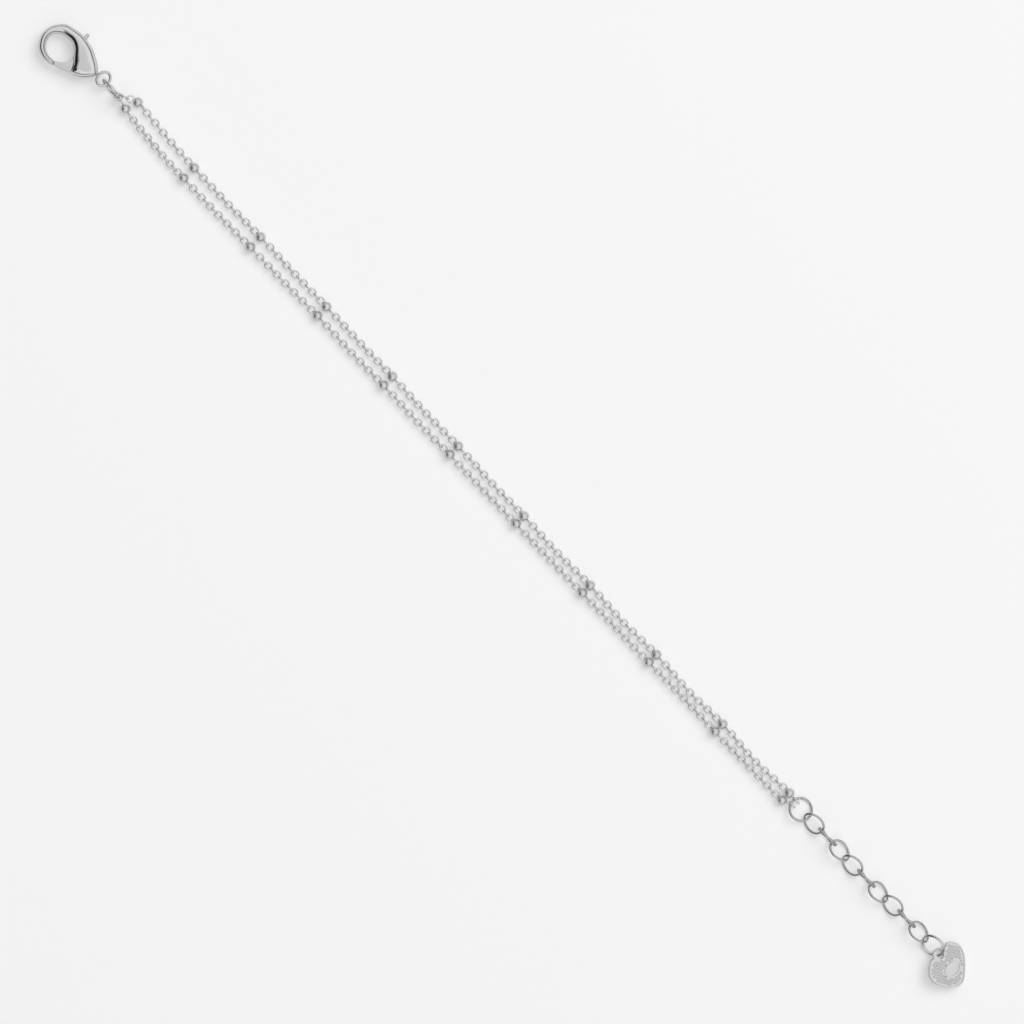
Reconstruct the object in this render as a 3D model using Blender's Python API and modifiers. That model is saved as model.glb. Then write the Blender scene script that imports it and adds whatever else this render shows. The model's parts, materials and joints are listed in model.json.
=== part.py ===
"""Double-strand bracelet with round beads, lying open and straight on a table.

It runs along +X: lobster clasp, jump ring, two strands of fine chain with a bead on every
interval, a ring, an extender of nine twisted links, a last ring and a heart tag.
A fine chain is the tube of its outer size here. Metres, +Z up; the origin is on the table,
under the middle of the whole bracelet. Before that last shift, X starts at the clasp's hook.
"""
import math

import bmesh
import bpy
from mathutils import Matrix, Vector

MM = 0.001

# Lobster clasp
CLASP_LENGTH = 9.8 * MM
CLASP_WIDTH = 6.5 * MM
CLASP_THICKNESS = 2.6 * MM
CLASP_Y = 0.47 * MM
EYE_LENGTH = 2.24 * MM
EYE_WIDTH = 2.6 * MM
EYE_WIRE = 0.42 * MM
EYE_OFFSET_Y = 0.99 * MM
JUMP_RING_OFFSET_Y = -0.22 * MM
LEVER_THICKNESS = 0.8 * MM
LEVER_CLEARANCE = 0.07 * MM
RIVET_RADIUS = 0.25 * MM
RIVET_CLEARANCE = 0.04 * MM
RIVET_LENGTH = 2.12 * MM

# Rings
JUMP_RING_OUTER = 3.65 * MM
JUMP_RING_WIRE = 0.44 * MM
EXTENDER_RING_OUTER = 3.7 * MM
EXTENDER_RING_WIRE = 0.36 * MM
TAG_RING_OUTER = 3.88 * MM
TAG_RING_WIRE = 0.42 * MM
TAG_RING_Y = 0.16 * MM
RING_SLIT = 0.08 * MM
JUMP_RING_SLIT_TURN = math.radians(150)
EXTENDER_RING_SLIT_TURN = math.radians(40)
TAG_RING_SLIT_TURN = math.radians(130)
PIECE_GAP = 0.06 * MM

# Strands
BEADS_PER_STRAND = 11
BEAD_DIAMETER = 1.5 * MM
BEAD_HOLE = 0.72 * MM
BEAD_PITCH = 14.03 * MM
SECOND_BEAD_REACH = 15.06 * MM
CHAIN_WIDTH = 1.14 * MM
CHAIN_START_WIDTH = 0.8 * MM
CHAIN_NECK = 0.5 * MM
CHAIN_SHOULDER = 0.2 * MM
CHAIN_RAMP = 3.3 * MM
END_LINK_LENGTH = 1.33 * MM
END_LINK_WIDTH = 1.15 * MM
END_LINK_WIRE = 0.22 * MM
END_LINK_PLAY = 0.13 * MM

# Extender
LINK_LENGTH = 3.74 * MM
LINK_WIDTH = 2.88 * MM
LINK_WIRE = 0.34 * MM
LINK_PLAY = 0.29 * MM
LINK_TWIST = math.radians(-30)

# Heart tag
HEART_LENGTH = 6.27 * MM
HEART_WIDTH = 6.55 * MM
HEART_THICKNESS = 0.6 * MM
HEART_HOLE_RADIUS = 0.58 * MM
HEART_RIM = 0.15 * MM
RELIEF_HEIGHT = 0.07 * MM
DOT_RADIUS = 0.19 * MM
DOT_TOP_RADIUS = 0.11 * MM
DOT_PITCH = 0.48 * MM
DOT_GAP = 0.03 * MM
PLAQUE_LENGTH = 1.95 * MM
PLAQUE_WIDTH = 2.8 * MM
PLAQUE_BORDER = 0.16 * MM

# Tilts of the pieces that lie across one another
JUMP_RING_YAW = math.radians(-2)
JUMP_RING_LEAN = math.radians(7)
EXTENDER_RING_ROLL = math.radians(-15)
TAG_RING_ROLL = math.radians(45)
HEART_ROLL = math.radians(-13)
HEART_PITCH = math.radians(7)

# Clasp sections round the hook, from its tip to the neck of the eye. Columns: outer x, outer y,
# inner x, inner y, thickness, as shares of the clasp's length, width and thickness, then the
# exponent of the section's superellipse.
CLASP_SECTIONS = (
    (0.432, -0.450, 0.424, -0.388, 0.30, 2.0),
    (0.423, -0.471, 0.411, -0.368, 0.50, 2.0),
    (0.283, -0.500, 0.291, -0.368, 0.56, 2.0),
    (0.127, -0.416, 0.186, -0.296, 0.60, 2.0),
    (0.022, -0.210, 0.118, -0.161, 0.62, 2.0),
    (0.000, 0.000, 0.103, -0.030, 0.62, 2.0),
    (0.036, 0.197, 0.133, 0.085, 0.62, 2.0),
    (0.148, 0.397, 0.216, 0.186, 0.66, 2.1),
    (0.291, 0.466, 0.313, 0.218, 0.74, 2.2),
    (0.420, 0.500, 0.403, 0.220, 0.85, 2.4),
    (0.520, 0.497, 0.493, 0.148, 0.93, 2.5),
    (0.620, 0.475, 0.583, 0.002, 1.00, 2.6),
    (0.720, 0.428, 0.651, -0.117, 1.00, 2.6),
    (0.800, 0.365, 0.718, -0.278, 1.00, 2.6),
    (0.880, 0.300, 0.800, -0.240, 0.97, 2.6),
    (0.935, 0.242, 0.875, -0.170, 0.90, 2.5),
    (0.970, 0.190, 0.940, -0.060, 0.76, 2.4),
    (0.990, 0.160, 0.985, 0.035, 0.60, 2.2),
    (1.005, 0.170, 1.005, 0.085, 0.42, 2.0),
    (1.027, 0.180, 1.027, 0.120, 0.26, 2.0),
)
# The slot's outline, in shares of the clasp's length and width
SLOT_OUTLINE = (
    (0.444, -0.565), (0.444, -0.296), (0.411, -0.072), (0.415, 0.186), (0.453, 0.646),
    (0.846, 0.646), (0.828, -0.072), (0.819, -0.285), (0.741, -0.430),
)
PIVOT_SHARE = (0.738, -0.150)
# The lever's outline in the same shares, round from the gate's tip. Columns: x, y, rounded.
LEVER_OUTLINE = (
    (0.448, -0.444, False), (0.531, -0.399, True), (0.621, -0.341, True),
    (0.688, -0.283, True), (0.738, -0.244, True), (0.789, -0.206, True),
    (0.801, -0.143, True), (0.780, -0.067, True), (0.741, 0.029, True),
    (0.681, 0.152, True), (0.613, 0.332, True), (0.553, 0.455, True),
    (0.519, 0.520, True), (0.510, 0.595, True), (0.489, 0.616, True),
    (0.467, 0.598, True), (0.467, 0.500, True), (0.458, 0.377, True),
    (0.438, 0.265, True), (0.433, 0.204, False), (0.501, 0.135, True),
    (0.561, 0.040, True), (0.588, -0.083, True), (0.564, -0.177, True),
    (0.493, -0.287, True), (0.426, -0.352, False),
)

# The heart's outline round its hole, in shares of its length and width. Columns: x, y, rounded.
HEART_OUTLINE = (
    (-0.082, 0.294, True), (-0.035, 0.383, True), (0.040, 0.443, True), (0.145, 0.473, True),
    (0.301, 0.459, True), (0.488, 0.355, True), (0.675, 0.187, True), (0.815, 0.022, True),
    (0.848, -0.084, True), (0.806, -0.227, True), (0.689, -0.356, True),
    (0.519, -0.469, True), (0.362, -0.527, True), (0.208, -0.514, True),
    (0.082, -0.437, True), (-0.012, -0.324, True), (-0.054, -0.204, True),
    (-0.042, -0.159, False), (-0.143, -0.102, True), (-0.156, -0.002, True),
    (-0.112, 0.113, True), (-0.042, 0.203, True),
)
LOBE_ROWS = 17
PLAQUE_CENTRE = (0.450, -0.006)

# The strands' routes, chosen points: bead number along the strand, sideways place in mm.
UPPER_ROUTE = (
    (1.0, 2.74), (1.15, 2.55), (1.57, 2.14), (2.0, 1.89), (2.5, 1.77),
    (3.0, 1.82), (3.5, 1.66), (4.0, 1.63), (4.5, 1.47), (5.0, 1.44), (5.5, 1.23),
    (6.0, 1.24), (6.5, 1.01), (7.0, 1.01), (7.5, 0.79), (8.0, 0.89), (8.5, 0.63),
    (9.0, 0.79), (9.5, 0.46), (10.0, 0.66), (10.5, 0.30), (11.0, 0.645),
)
LOWER_ROUTE = (
    (1.0, 0.615), (1.28, 0.235), (1.69, -0.18), (2.0, -0.28), (2.5, -0.34),
    (3.0, -0.29), (3.5, -0.31), (4.0, -0.26), (4.5, -0.41), (5.0, -0.41), (5.5, -0.53),
    (6.0, -0.53), (6.5, -0.60), (7.0, -0.63), (7.5, -0.69), (8.0, -0.72), (8.5, -0.75),
    (9.0, -0.805), (9.5, -0.79), (10.0, -0.92), (10.5, -0.94), (11.0, -0.91),
)
# Each strand: its route, its first bead's reach from the jump ring's wire, its first link's
# height on that ring, the heading and the slope of that link in degrees, and the sideways place
# of its last link.
STRANDS = {
    "upper": (UPPER_ROUTE, 2.44 * MM, 2.05 * MM, 50, -25, 0.59 * MM),
    "lower": (LOWER_ROUTE, 1.86 * MM, 1.15 * MM, -8, -10, -0.29 * MM),
}

# Each extender link's sideways place in mm, turn in degrees at its middle, and pitch in degrees
EXTENDER_TABLE = (
    (0.10, 30, -5), (0.15, 90, 0), (0.09, -30, 5), (-0.10, 30, -5), (0.00, 90, 0),
    (-0.10, -30, 5), (0.02, 30, -5), (0.12, 90, 0), (0.08, -30, 5),
)

# Facets
SHELL_SIDES = 14
LOOP_SIDES = 16
END_LINK_SIDES = 12
BEAD_SIDES = 12
BEAD_ROWS = 6

SILVER = (0.78, 0.78, 0.79, 1.0)
CHAIN_SILVER = (0.62, 0.62, 0.63, 1.0)
TAG_SILVER = (0.66, 0.66, 0.66, 1.0)


def clear_scene():
    for obj in list(bpy.data.objects):
        bpy.data.objects.remove(obj, do_unlink=True)


def new_collection(name):
    collection = bpy.data.collections.new(name)
    bpy.context.scene.collection.children.link(collection)
    return collection


def make_material(name, colour, roughness):
    material = bpy.data.materials.new(name)
    material.use_nodes = True
    shader = material.node_tree.nodes["Principled BSDF"]
    shader.inputs["Base Color"].default_value = colour
    shader.inputs["Metallic"].default_value = 1.0
    shader.inputs["Roughness"].default_value = roughness
    return material


class Bracelet:
    """Holds the collections, the materials and the empty that carries every piece."""

    def __init__(self):
        self.pieces = new_collection("bracelet")
        self.cutters = new_collection("bracelet_cutters")
        self.polished = make_material("polished_silver", SILVER, 0.12)
        self.chain = make_material("chain_silver", CHAIN_SILVER, 0.25)
        self.satin = make_material("tag_silver", TAG_SILVER, 0.4)
        self.root = bpy.data.objects.new("bracelet_root", None)
        self.pieces.objects.link(self.root)

    def add(self, name, data, material, place=None):
        """A piece of the bracelet, placed by a matrix in the root's frame."""
        obj = bpy.data.objects.new(name, data)
        self.pieces.objects.link(obj)
        if not data.materials:
            data.materials.append(material)
        obj.parent = self.root
        obj.matrix_basis = place or Matrix.Identity(4)
        return obj

    def cutter(self, name, data, place=None):
        obj = bpy.data.objects.new(name, data)
        self.cutters.objects.link(obj)
        obj.hide_render = True
        obj.display_type = "WIRE"
        obj.parent = self.root
        obj.matrix_basis = place or Matrix.Identity(4)
        return obj


def boolean(obj, other, operation):
    modifier = obj.modifiers.new(operation.lower(), "BOOLEAN")
    modifier.operation = operation
    modifier.solver = "EXACT"
    modifier.object = other


def mesh_of(curve, name):
    """The curve's evaluated surface as a mesh with its caps welded."""
    helper = bpy.data.objects.new(name, curve)
    bpy.context.scene.collection.objects.link(helper)
    bpy.context.view_layer.update()
    depsgraph = bpy.context.evaluated_depsgraph_get()
    mesh = bpy.data.meshes.new_from_object(helper.evaluated_get(depsgraph))
    bpy.data.objects.remove(helper, do_unlink=True)
    bm = bmesh.new()
    bm.from_mesh(mesh)
    bmesh.ops.remove_doubles(bm, verts=bm.verts, dist=1e-7)
    bm.to_mesh(mesh)
    bm.free()
    mesh.materials.clear()
    return mesh


def shade(mesh, sharp_degrees=40):
    mesh.shade_smooth()
    mesh.set_sharp_from_angle(angle=math.radians(sharp_degrees))


def wire_curve(name, points, wire, cyclic, resolution=1, radii=None):
    """A wire along the points: 4 sides plus 2 for each step of the resolution."""
    curve = bpy.data.curves.new(name, "CURVE")
    curve.dimensions = "3D"
    curve.bevel_depth = wire / 2
    curve.bevel_resolution = resolution
    curve.use_fill_caps = not cyclic
    spline = curve.splines.new("POLY")
    spline.points.add(len(points) - 1)
    for index, point in enumerate(points):
        spline.points[index].co = (*point, 1.0)
        spline.points[index].radius = radii[index] if radii else 1.0
    spline.use_cyclic_u = cyclic
    return curve


def flat_curve(name, outlines, thickness, resolution=2):
    """A plate from closed outlines of (x, y, rounded) in metres; inner outlines are holes."""
    curve = bpy.data.curves.new(name, "CURVE")
    curve.dimensions = "2D"
    curve.fill_mode = "BOTH"
    curve.extrude = thickness / 2
    curve.resolution_u = resolution
    for outline in outlines:
        spline = curve.splines.new("BEZIER")
        spline.bezier_points.add(len(outline) - 1)
        for index, (x, y, rounded) in enumerate(outline):
            point = spline.bezier_points[index]
            point.co = (x, y, 0.0)
            handle = "AUTO" if rounded else "VECTOR"
            point.handle_left_type = handle
            point.handle_right_type = handle
        spline.use_cyclic_u = True
    return curve


def catmull_rom(before, start, end, after, share):
    """Each column's value at a share of the way from start to end, on a smooth curve."""
    squared = share * share
    cubed = squared * share
    values = []
    for a, b, c, d in zip(before, start, end, after):
        values.append(0.5 * (2 * b + (c - a) * share + (2 * a - 5 * b + 4 * c - d) * squared
                             + (3 * b - a - 3 * c + d) * cubed))
    return tuple(values)


def refined(rows, steps):
    """The table's rows with steps - 1 smooth rows added between each pair."""
    last = len(rows) - 1
    result = []
    for index in range(last):
        before = rows[max(index - 1, 0)]
        after = rows[min(index + 2, last)]
        for step in range(steps):
            result.append(catmull_rom(before, rows[index], rows[index + 1], after, step / steps))
    result.append(rows[last])
    return result


def superellipse(angle, exponent):
    """A point of the unit superellipse."""
    across, up = math.cos(angle), math.sin(angle)
    power = 2.0 / exponent
    return (math.copysign(abs(across) ** power, across), math.copysign(abs(up) ** power, up))


def clasp_point(share_x, share_y, height=0.0):
    return Vector((share_x * CLASP_LENGTH, CLASP_Y + share_y * CLASP_WIDTH, height))


def pivot_point():
    return clasp_point(*PIVOT_SHARE, CLASP_THICKNESS / 2)


def clasp_shell():
    """The hook and body of the clasp, lofted through its sections."""
    bm = bmesh.new()
    rings = []
    for outer_x, outer_y, inner_x, inner_y, thickness, exponent in refined(CLASP_SECTIONS, 2):
        outer = clasp_point(outer_x, outer_y)
        inner = clasp_point(inner_x, inner_y)
        middle = (outer + inner) / 2
        across = (outer - inner) / 2
        ring = []
        for side in range(SHELL_SIDES):
            reach, rise = superellipse(math.tau * side / SHELL_SIDES, exponent)
            height = CLASP_THICKNESS / 2 * (1 + thickness * rise)
            ring.append(bm.verts.new(middle + across * reach + Vector((0, 0, height))))
        rings.append(ring)
    for ring, following in zip(rings, rings[1:]):
        for side in range(SHELL_SIDES):
            after = (side + 1) % SHELL_SIDES
            bm.faces.new((ring[side], ring[after], following[after], following[side]))
    bm.faces.new(rings[0])
    bm.faces.new(rings[-1])
    bmesh.ops.recalc_face_normals(bm, faces=bm.faces)
    mesh = bpy.data.meshes.new("clasp_body")
    bm.to_mesh(mesh)
    bm.free()
    shade(mesh)
    return mesh


def oval(half_length, half_width, count):
    points = []
    for index in range(count):
        angle = math.tau * index / count
        points.append(Vector((half_length * math.cos(angle), half_width * math.sin(angle), 0)))
    return points


def eye_centre():
    """The eye's left wire is sunk in the end of the clasp's neck."""
    neck_x = CLASP_SECTIONS[-1][0] * CLASP_LENGTH
    return Vector((neck_x + (EYE_LENGTH - EYE_WIRE) / 2, CLASP_Y + EYE_OFFSET_Y,
                   CLASP_THICKNESS / 2))


def build_clasp(bracelet):
    body = bracelet.add("clasp_body", clasp_shell(), bracelet.polished)
    loop = oval((EYE_LENGTH - EYE_WIRE) / 2, (EYE_WIDTH - EYE_WIRE) / 2, LOOP_SIDES)
    eye_mesh = mesh_of(wire_curve("clasp_eye", loop, EYE_WIRE, True), "clasp_eye")
    eye = bracelet.cutter("clasp_eye", eye_mesh, Matrix.Translation(eye_centre()))
    boolean(body, eye, "UNION")

    slot_outline = []
    for share_x, share_y in SLOT_OUTLINE:
        point = clasp_point(share_x, share_y)
        slot_outline.append((point.x, point.y, False))
    slot_height = LEVER_THICKNESS + 2 * LEVER_CLEARANCE
    slot_mesh = mesh_of(flat_curve("lever_slot", [slot_outline], slot_height), "lever_slot")
    slot = bracelet.cutter("lever_slot", slot_mesh,
                           Matrix.Translation((0, 0, CLASP_THICKNESS / 2)))
    boolean(body, slot, "DIFFERENCE")

    hole = bracelet.cutter("rivet_hole", pin_mesh(RIVET_RADIUS + RIVET_CLEARANCE,
                                                  2 * CLASP_THICKNESS),
                           Matrix.Translation(pivot_point()))
    boolean(body, hole, "DIFFERENCE")
    bracelet.add("clasp_rivet", pin_mesh(RIVET_RADIUS, RIVET_LENGTH), bracelet.polished,
                 Matrix.Translation(pivot_point()))


def pin_mesh(radius, length):
    mesh = bpy.data.meshes.new("pin")
    bm = bmesh.new()
    bmesh.ops.create_cone(bm, cap_ends=True, segments=12, radius1=radius, radius2=radius,
                          depth=length)
    bm.to_mesh(mesh)
    bm.free()
    shade(mesh)
    return mesh


def build_lever(bracelet):
    """The gate, its hub and its thumb nub in one plate, with the origin on the pivot."""
    pivot = pivot_point()
    outline = []
    for share_x, share_y, rounded in LEVER_OUTLINE:
        point = clasp_point(share_x, share_y) - pivot
        outline.append((point.x, point.y, rounded))
    plate = mesh_of(flat_curve("clasp_lever", [outline], LEVER_THICKNESS), "clasp_lever")
    lever = bracelet.add("clasp_lever", plate, bracelet.polished, Matrix.Translation(pivot))
    hole = bracelet.cutter("lever_hole", pin_mesh(RIVET_RADIUS + RIVET_CLEARANCE,
                                                  2 * LEVER_THICKNESS),
                           Matrix.Translation(pivot))
    boolean(lever, hole, "DIFFERENCE")


def split_ring(name, outer, wire):
    """A round ring in its own XY plane, open by its slit at local +Y."""
    radius = (outer - wire) / 2
    half_slit = RING_SLIT / 2 / radius
    points = []
    for index in range(LOOP_SIDES + 1):
        angle = math.pi / 2 + half_slit + (math.tau - 2 * half_slit) * index / LOOP_SIDES
        points.append(Vector((radius * math.cos(angle), radius * math.sin(angle), 0)))
    return wire_curve(name, points, wire, False)


def jump_ring_place():
    """The jump ring stands in the eye, with its wire against the eye's far end."""
    radius = (JUMP_RING_OUTER - JUMP_RING_WIRE) / 2
    centre_z = radius * math.cos(JUMP_RING_LEAN) + JUMP_RING_WIRE / 2
    drop = (centre_z - CLASP_THICKNESS / 2) / math.cos(JUMP_RING_LEAN)
    eye_far = eye_centre() + Vector(((EYE_LENGTH - EYE_WIRE) / 2, 0, 0))
    wire_x = eye_far.x - (EYE_WIRE + JUMP_RING_WIRE) / 2 - 2 * PIECE_GAP
    centre = Vector((wire_x + math.sqrt(radius ** 2 - drop ** 2),
                     eye_far.y + JUMP_RING_OFFSET_Y, centre_z))
    turn = (Matrix.Rotation(JUMP_RING_YAW, 4, "Z")
            @ Matrix.Rotation(math.pi / 2 - JUMP_RING_LEAN, 4, "X")
            @ Matrix.Rotation(JUMP_RING_SLIT_TURN, 4, "Z"))
    return Matrix.Translation(centre) @ turn


def jump_ring_wire(height):
    """The point of the jump ring's far wire at a height above the table."""
    radius = (JUMP_RING_OUTER - JUMP_RING_WIRE) / 2
    place = jump_ring_place()
    centre = place.translation
    rise = height - centre.z
    up = rise / math.cos(JUMP_RING_LEAN)
    along = math.sqrt(radius ** 2 - up ** 2)
    return centre + Matrix.Rotation(JUMP_RING_YAW, 3, "Z") @ Vector(
        (along, up * math.sin(JUMP_RING_LEAN), rise))


def first_link(strand):
    """The centre and the heading of a strand's first link, which grips the jump ring."""
    _, _, height, heading, slope, _ = STRANDS[strand]
    heading, slope = math.radians(heading), math.radians(slope)
    along = Vector((math.cos(heading) * math.cos(slope), math.sin(heading) * math.cos(slope),
                    math.sin(slope)))
    seat = (END_LINK_LENGTH - 2 * END_LINK_WIRE - JUMP_RING_WIRE) / 2 - END_LINK_PLAY
    return jump_ring_wire(height) + along * seat, along


def strand_start(strand):
    centre, along = first_link(strand)
    return centre + along * (END_LINK_LENGTH / 2 + PIECE_GAP)


def station_x(strand, station):
    """X of a station: 1 is the strand's first bead, 2 its second, and so on."""
    ring_x = jump_ring_wire(jump_ring_place().translation.z).x
    first = ring_x + STRANDS[strand][1]
    second = ring_x + SECOND_BEAD_REACH
    if station <= 2:
        return first + (second - first) * (station - 1)
    return second + BEAD_PITCH * (station - 2)


def strand_point(strand, x):
    """The strand's centre line at x: sideways from its route, and up at each bead."""
    start = strand_start(strand)
    knots = [(start.x, start.y)]
    for station, side in STRANDS[strand][0]:
        knots.append((station_x(strand, station), side * MM))
    last = len(knots) - 1
    index = 0
    while index < last - 1 and knots[index + 1][0] < x:
        index += 1
    share = (x - knots[index][0]) / (knots[index + 1][0] - knots[index][0])
    before = knots[max(index - 1, 0)]
    after = knots[min(index + 2, last)]
    side = catmull_rom(before, knots[index], knots[index + 1], after, share)[1]
    first_bead = station_x(strand, 1)
    if x < first_bead:
        drop = (x - start.x) / (first_bead - start.x)
        return Vector((x, side, start.z + (BEAD_DIAMETER / 2 - start.z) * drop))
    beads = [station_x(strand, number) for number in range(1, BEADS_PER_STRAND + 1)]
    nearest = min(abs(x - bead) for bead in beads)
    lift = (BEAD_DIAMETER - CHAIN_WIDTH) / 2 * max(0.0, 1 - nearest / CHAIN_RAMP) ** 2
    return Vector((x, side, CHAIN_WIDTH / 2 + lift))


def bead_axis(strand, number):
    """A bead's centre and the direction of its hole, along the strand."""
    x = station_x(strand, number)
    reach = BEAD_DIAMETER / 3
    before, after = strand_point(strand, x - reach), strand_point(strand, x + reach)
    middle = (before + after) / 2
    middle.z = BEAD_DIAMETER / 2
    return middle, (after - before).normalized()


def chain_tube(strand):
    """The strand's chain as a tube, narrow where it runs through the drilled beads."""
    full, neck = 1.0, CHAIN_NECK / CHAIN_WIDTH
    shoulder = BEAD_DIAMETER / 2 + CHAIN_SHOULDER
    mouth = math.sqrt(BEAD_DIAMETER ** 2 - BEAD_HOLE ** 2) / 2
    start = strand_start(strand)
    points, radii = [start], [CHAIN_START_WIDTH / CHAIN_WIDTH]
    for number in range(1, BEADS_PER_STRAND + 1):
        middle, along = bead_axis(strand, number)
        if number > 1 or (middle - start).length > 2 * shoulder:
            points.append(middle - along * shoulder)
            radii.append(full)
        points.extend((middle - along * mouth, middle + along * mouth))
        radii.extend((neck, neck))
        if number == BEADS_PER_STRAND:
            break
        after = middle + along * shoulder
        after.z = max(after.z, CHAIN_WIDTH / 2)
        points.append(after)
        radii.append(full)
        span = station_x(strand, number + 1) - middle.x - 2 * shoulder
        for share in (0.25, 0.5, 0.75):
            points.append(strand_point(strand, middle.x + shoulder + share * span))
            radii.append(full)
    return wire_curve("chain_" + strand, points, CHAIN_WIDTH, False, 2, radii)


def bead_mesh():
    """A drilled ball, turned round Z from half its section."""
    radius = BEAD_DIAMETER / 2
    mouth = math.asin(BEAD_HOLE / BEAD_DIAMETER)
    bm = bmesh.new()
    profile = []
    for index in range(BEAD_ROWS + 1):
        angle = mouth + (math.pi - 2 * mouth) * index / BEAD_ROWS
        profile.append(bm.verts.new((radius * math.sin(angle), 0, radius * math.cos(angle))))
    for index in range(BEAD_ROWS + 1):
        bm.edges.new((profile[index], profile[(index + 1) % (BEAD_ROWS + 1)]))
    section = bpy.data.meshes.new("bead_section")
    bm.to_mesh(section)
    bm.free()
    helper = bpy.data.objects.new("bead_section", section)
    bpy.context.scene.collection.objects.link(helper)
    screw = helper.modifiers.new("turn", "SCREW")
    screw.steps = BEAD_SIDES
    screw.render_steps = BEAD_SIDES
    screw.use_merge_vertices = True
    screw.merge_threshold = 1e-6
    bpy.context.view_layer.update()
    depsgraph = bpy.context.evaluated_depsgraph_get()
    mesh = bpy.data.meshes.new_from_object(helper.evaluated_get(depsgraph))
    mesh.name = "bead"
    bpy.data.objects.remove(helper, do_unlink=True)
    shade(mesh)
    return mesh


def build_strand(bracelet, strand, mesh):
    """One strand: its chain tube, its beads and its two end links."""
    bracelet.add("chain_" + strand, chain_tube(strand), bracelet.chain)
    for number in range(1, BEADS_PER_STRAND + 1):
        middle, along = bead_axis(strand, number)
        turn = along.to_track_quat("Z", "Y").to_matrix().to_4x4()
        bracelet.add(f"bead_{strand}_{number:02d}", mesh, bracelet.polished,
                     Matrix.Translation(middle) @ turn)

    centre, along = first_link(strand)
    aside = Vector((0, 0, 1)).cross(along).normalized()
    bracelet.add(f"{strand}_first_link", end_link_curve(), bracelet.chain,
                 link_place(centre, along, aside))
    bracelet.add(f"{strand}_last_link", end_link_curve(), bracelet.chain,
                 link_place(last_link_centre(strand), Vector((1, 0, 0)), Vector((0, 0, 1))))


def end_link_curve():
    half_length = (END_LINK_LENGTH - END_LINK_WIRE) / 2
    half_width = (END_LINK_WIDTH - END_LINK_WIRE) / 2
    loop = oval(half_length, half_width, END_LINK_SIDES)
    return wire_curve("end_link", loop, END_LINK_WIRE, True)


def link_place(centre, along, aside):
    """The matrix of a piece whose local X and Y run along the two directions given."""
    up = along.cross(aside)
    turn = Matrix((along, aside, up)).transposed().to_4x4()
    return Matrix.Translation(centre) @ turn


def last_link_x():
    """The strands' last links stand just past the last beads."""
    return (station_x("upper", BEADS_PER_STRAND) + BEAD_DIAMETER / 2 + PIECE_GAP
            + END_LINK_LENGTH / 2)


def extender_ring_place():
    """The extender's ring lies nearly flat, through both strands' last links."""
    radius = (EXTENDER_RING_OUTER - EXTENDER_RING_WIRE) / 2
    spread = (STRANDS["upper"][5] - STRANDS["lower"][5]) / 2
    middle_y = (STRANDS["upper"][5] + STRANDS["lower"][5]) / 2
    wire_x = (last_link_x() - END_LINK_LENGTH / 2 + END_LINK_WIRE + PIECE_GAP
              + EXTENDER_RING_WIRE / 2)
    centre_z = radius * math.sin(abs(EXTENDER_RING_ROLL)) + EXTENDER_RING_WIRE / 2
    centre = Vector((wire_x + math.sqrt(radius ** 2 - spread ** 2), middle_y, centre_z))
    return (Matrix.Translation(centre) @ Matrix.Rotation(EXTENDER_RING_ROLL, 4, "X")
            @ Matrix.Rotation(EXTENDER_RING_SLIT_TURN, 4, "Z"))


def last_link_centre(strand):
    """A last link stands on the table, unless the ring through its middle holds it higher."""
    side = STRANDS[strand][5]
    ring = extender_ring_place().translation
    held = ring.z + (side - ring.y) * math.tan(EXTENDER_RING_ROLL)
    return Vector((last_link_x(), side, max(END_LINK_WIDTH / 2, held)))


def link_x(number):
    """X of an extender link's centre; 0 is the extender ring itself."""
    ring_half = (EXTENDER_RING_OUTER - EXTENDER_RING_WIRE) / 2
    link_half = (LINK_LENGTH - LINK_WIRE) / 2
    ring_x = extender_ring_place().translation.x
    first = ring_x + ring_half + link_half - (EXTENDER_RING_WIRE + LINK_WIRE) / 2 - LINK_PLAY
    return first + (number - 1) * (2 * link_half - LINK_WIRE - LINK_PLAY)


def build_extender(bracelet):
    """Nine oval links, each twisted a little, so that neighbours cross squarely."""
    half_length = (LINK_LENGTH - LINK_WIRE) / 2
    half_width = (LINK_WIDTH - LINK_WIRE) / 2
    for number, (side, turn_degrees, pitch_degrees) in enumerate(EXTENDER_TABLE, 1):
        points = []
        for point in oval(half_length, half_width, LOOP_SIDES):
            turn = math.radians(turn_degrees) + LINK_TWIST / 2 * point.x / half_length
            points.append(Vector((point.x, point.y * math.cos(turn), point.y * math.sin(turn))))
        pitch = Matrix.Rotation(math.radians(pitch_degrees), 4, "Y")
        points = [pitch @ point for point in points]
        lowest = min(point.z for point in points)
        place = Vector((link_x(number), side * MM, LINK_WIRE / 2 - lowest))
        curve = wire_curve("extender_link", points, LINK_WIRE, True)
        bracelet.add(f"extender_link_{number}", curve, bracelet.polished,
                     Matrix.Translation(place))


def tag_ring_place():
    radius = (TAG_RING_OUTER - TAG_RING_WIRE) / 2
    link_half = (LINK_LENGTH - LINK_WIRE) / 2
    x = (link_x(len(EXTENDER_TABLE)) + link_half + radius - (LINK_WIRE + TAG_RING_WIRE) / 2
         - LINK_PLAY)
    centre_z = radius * math.sin(TAG_RING_ROLL) + TAG_RING_WIRE / 2
    return (Matrix.Translation((x, TAG_RING_Y, centre_z))
            @ Matrix.Rotation(TAG_RING_ROLL, 4, "X")
            @ Matrix.Rotation(TAG_RING_SLIT_TURN, 4, "Z"))


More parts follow.
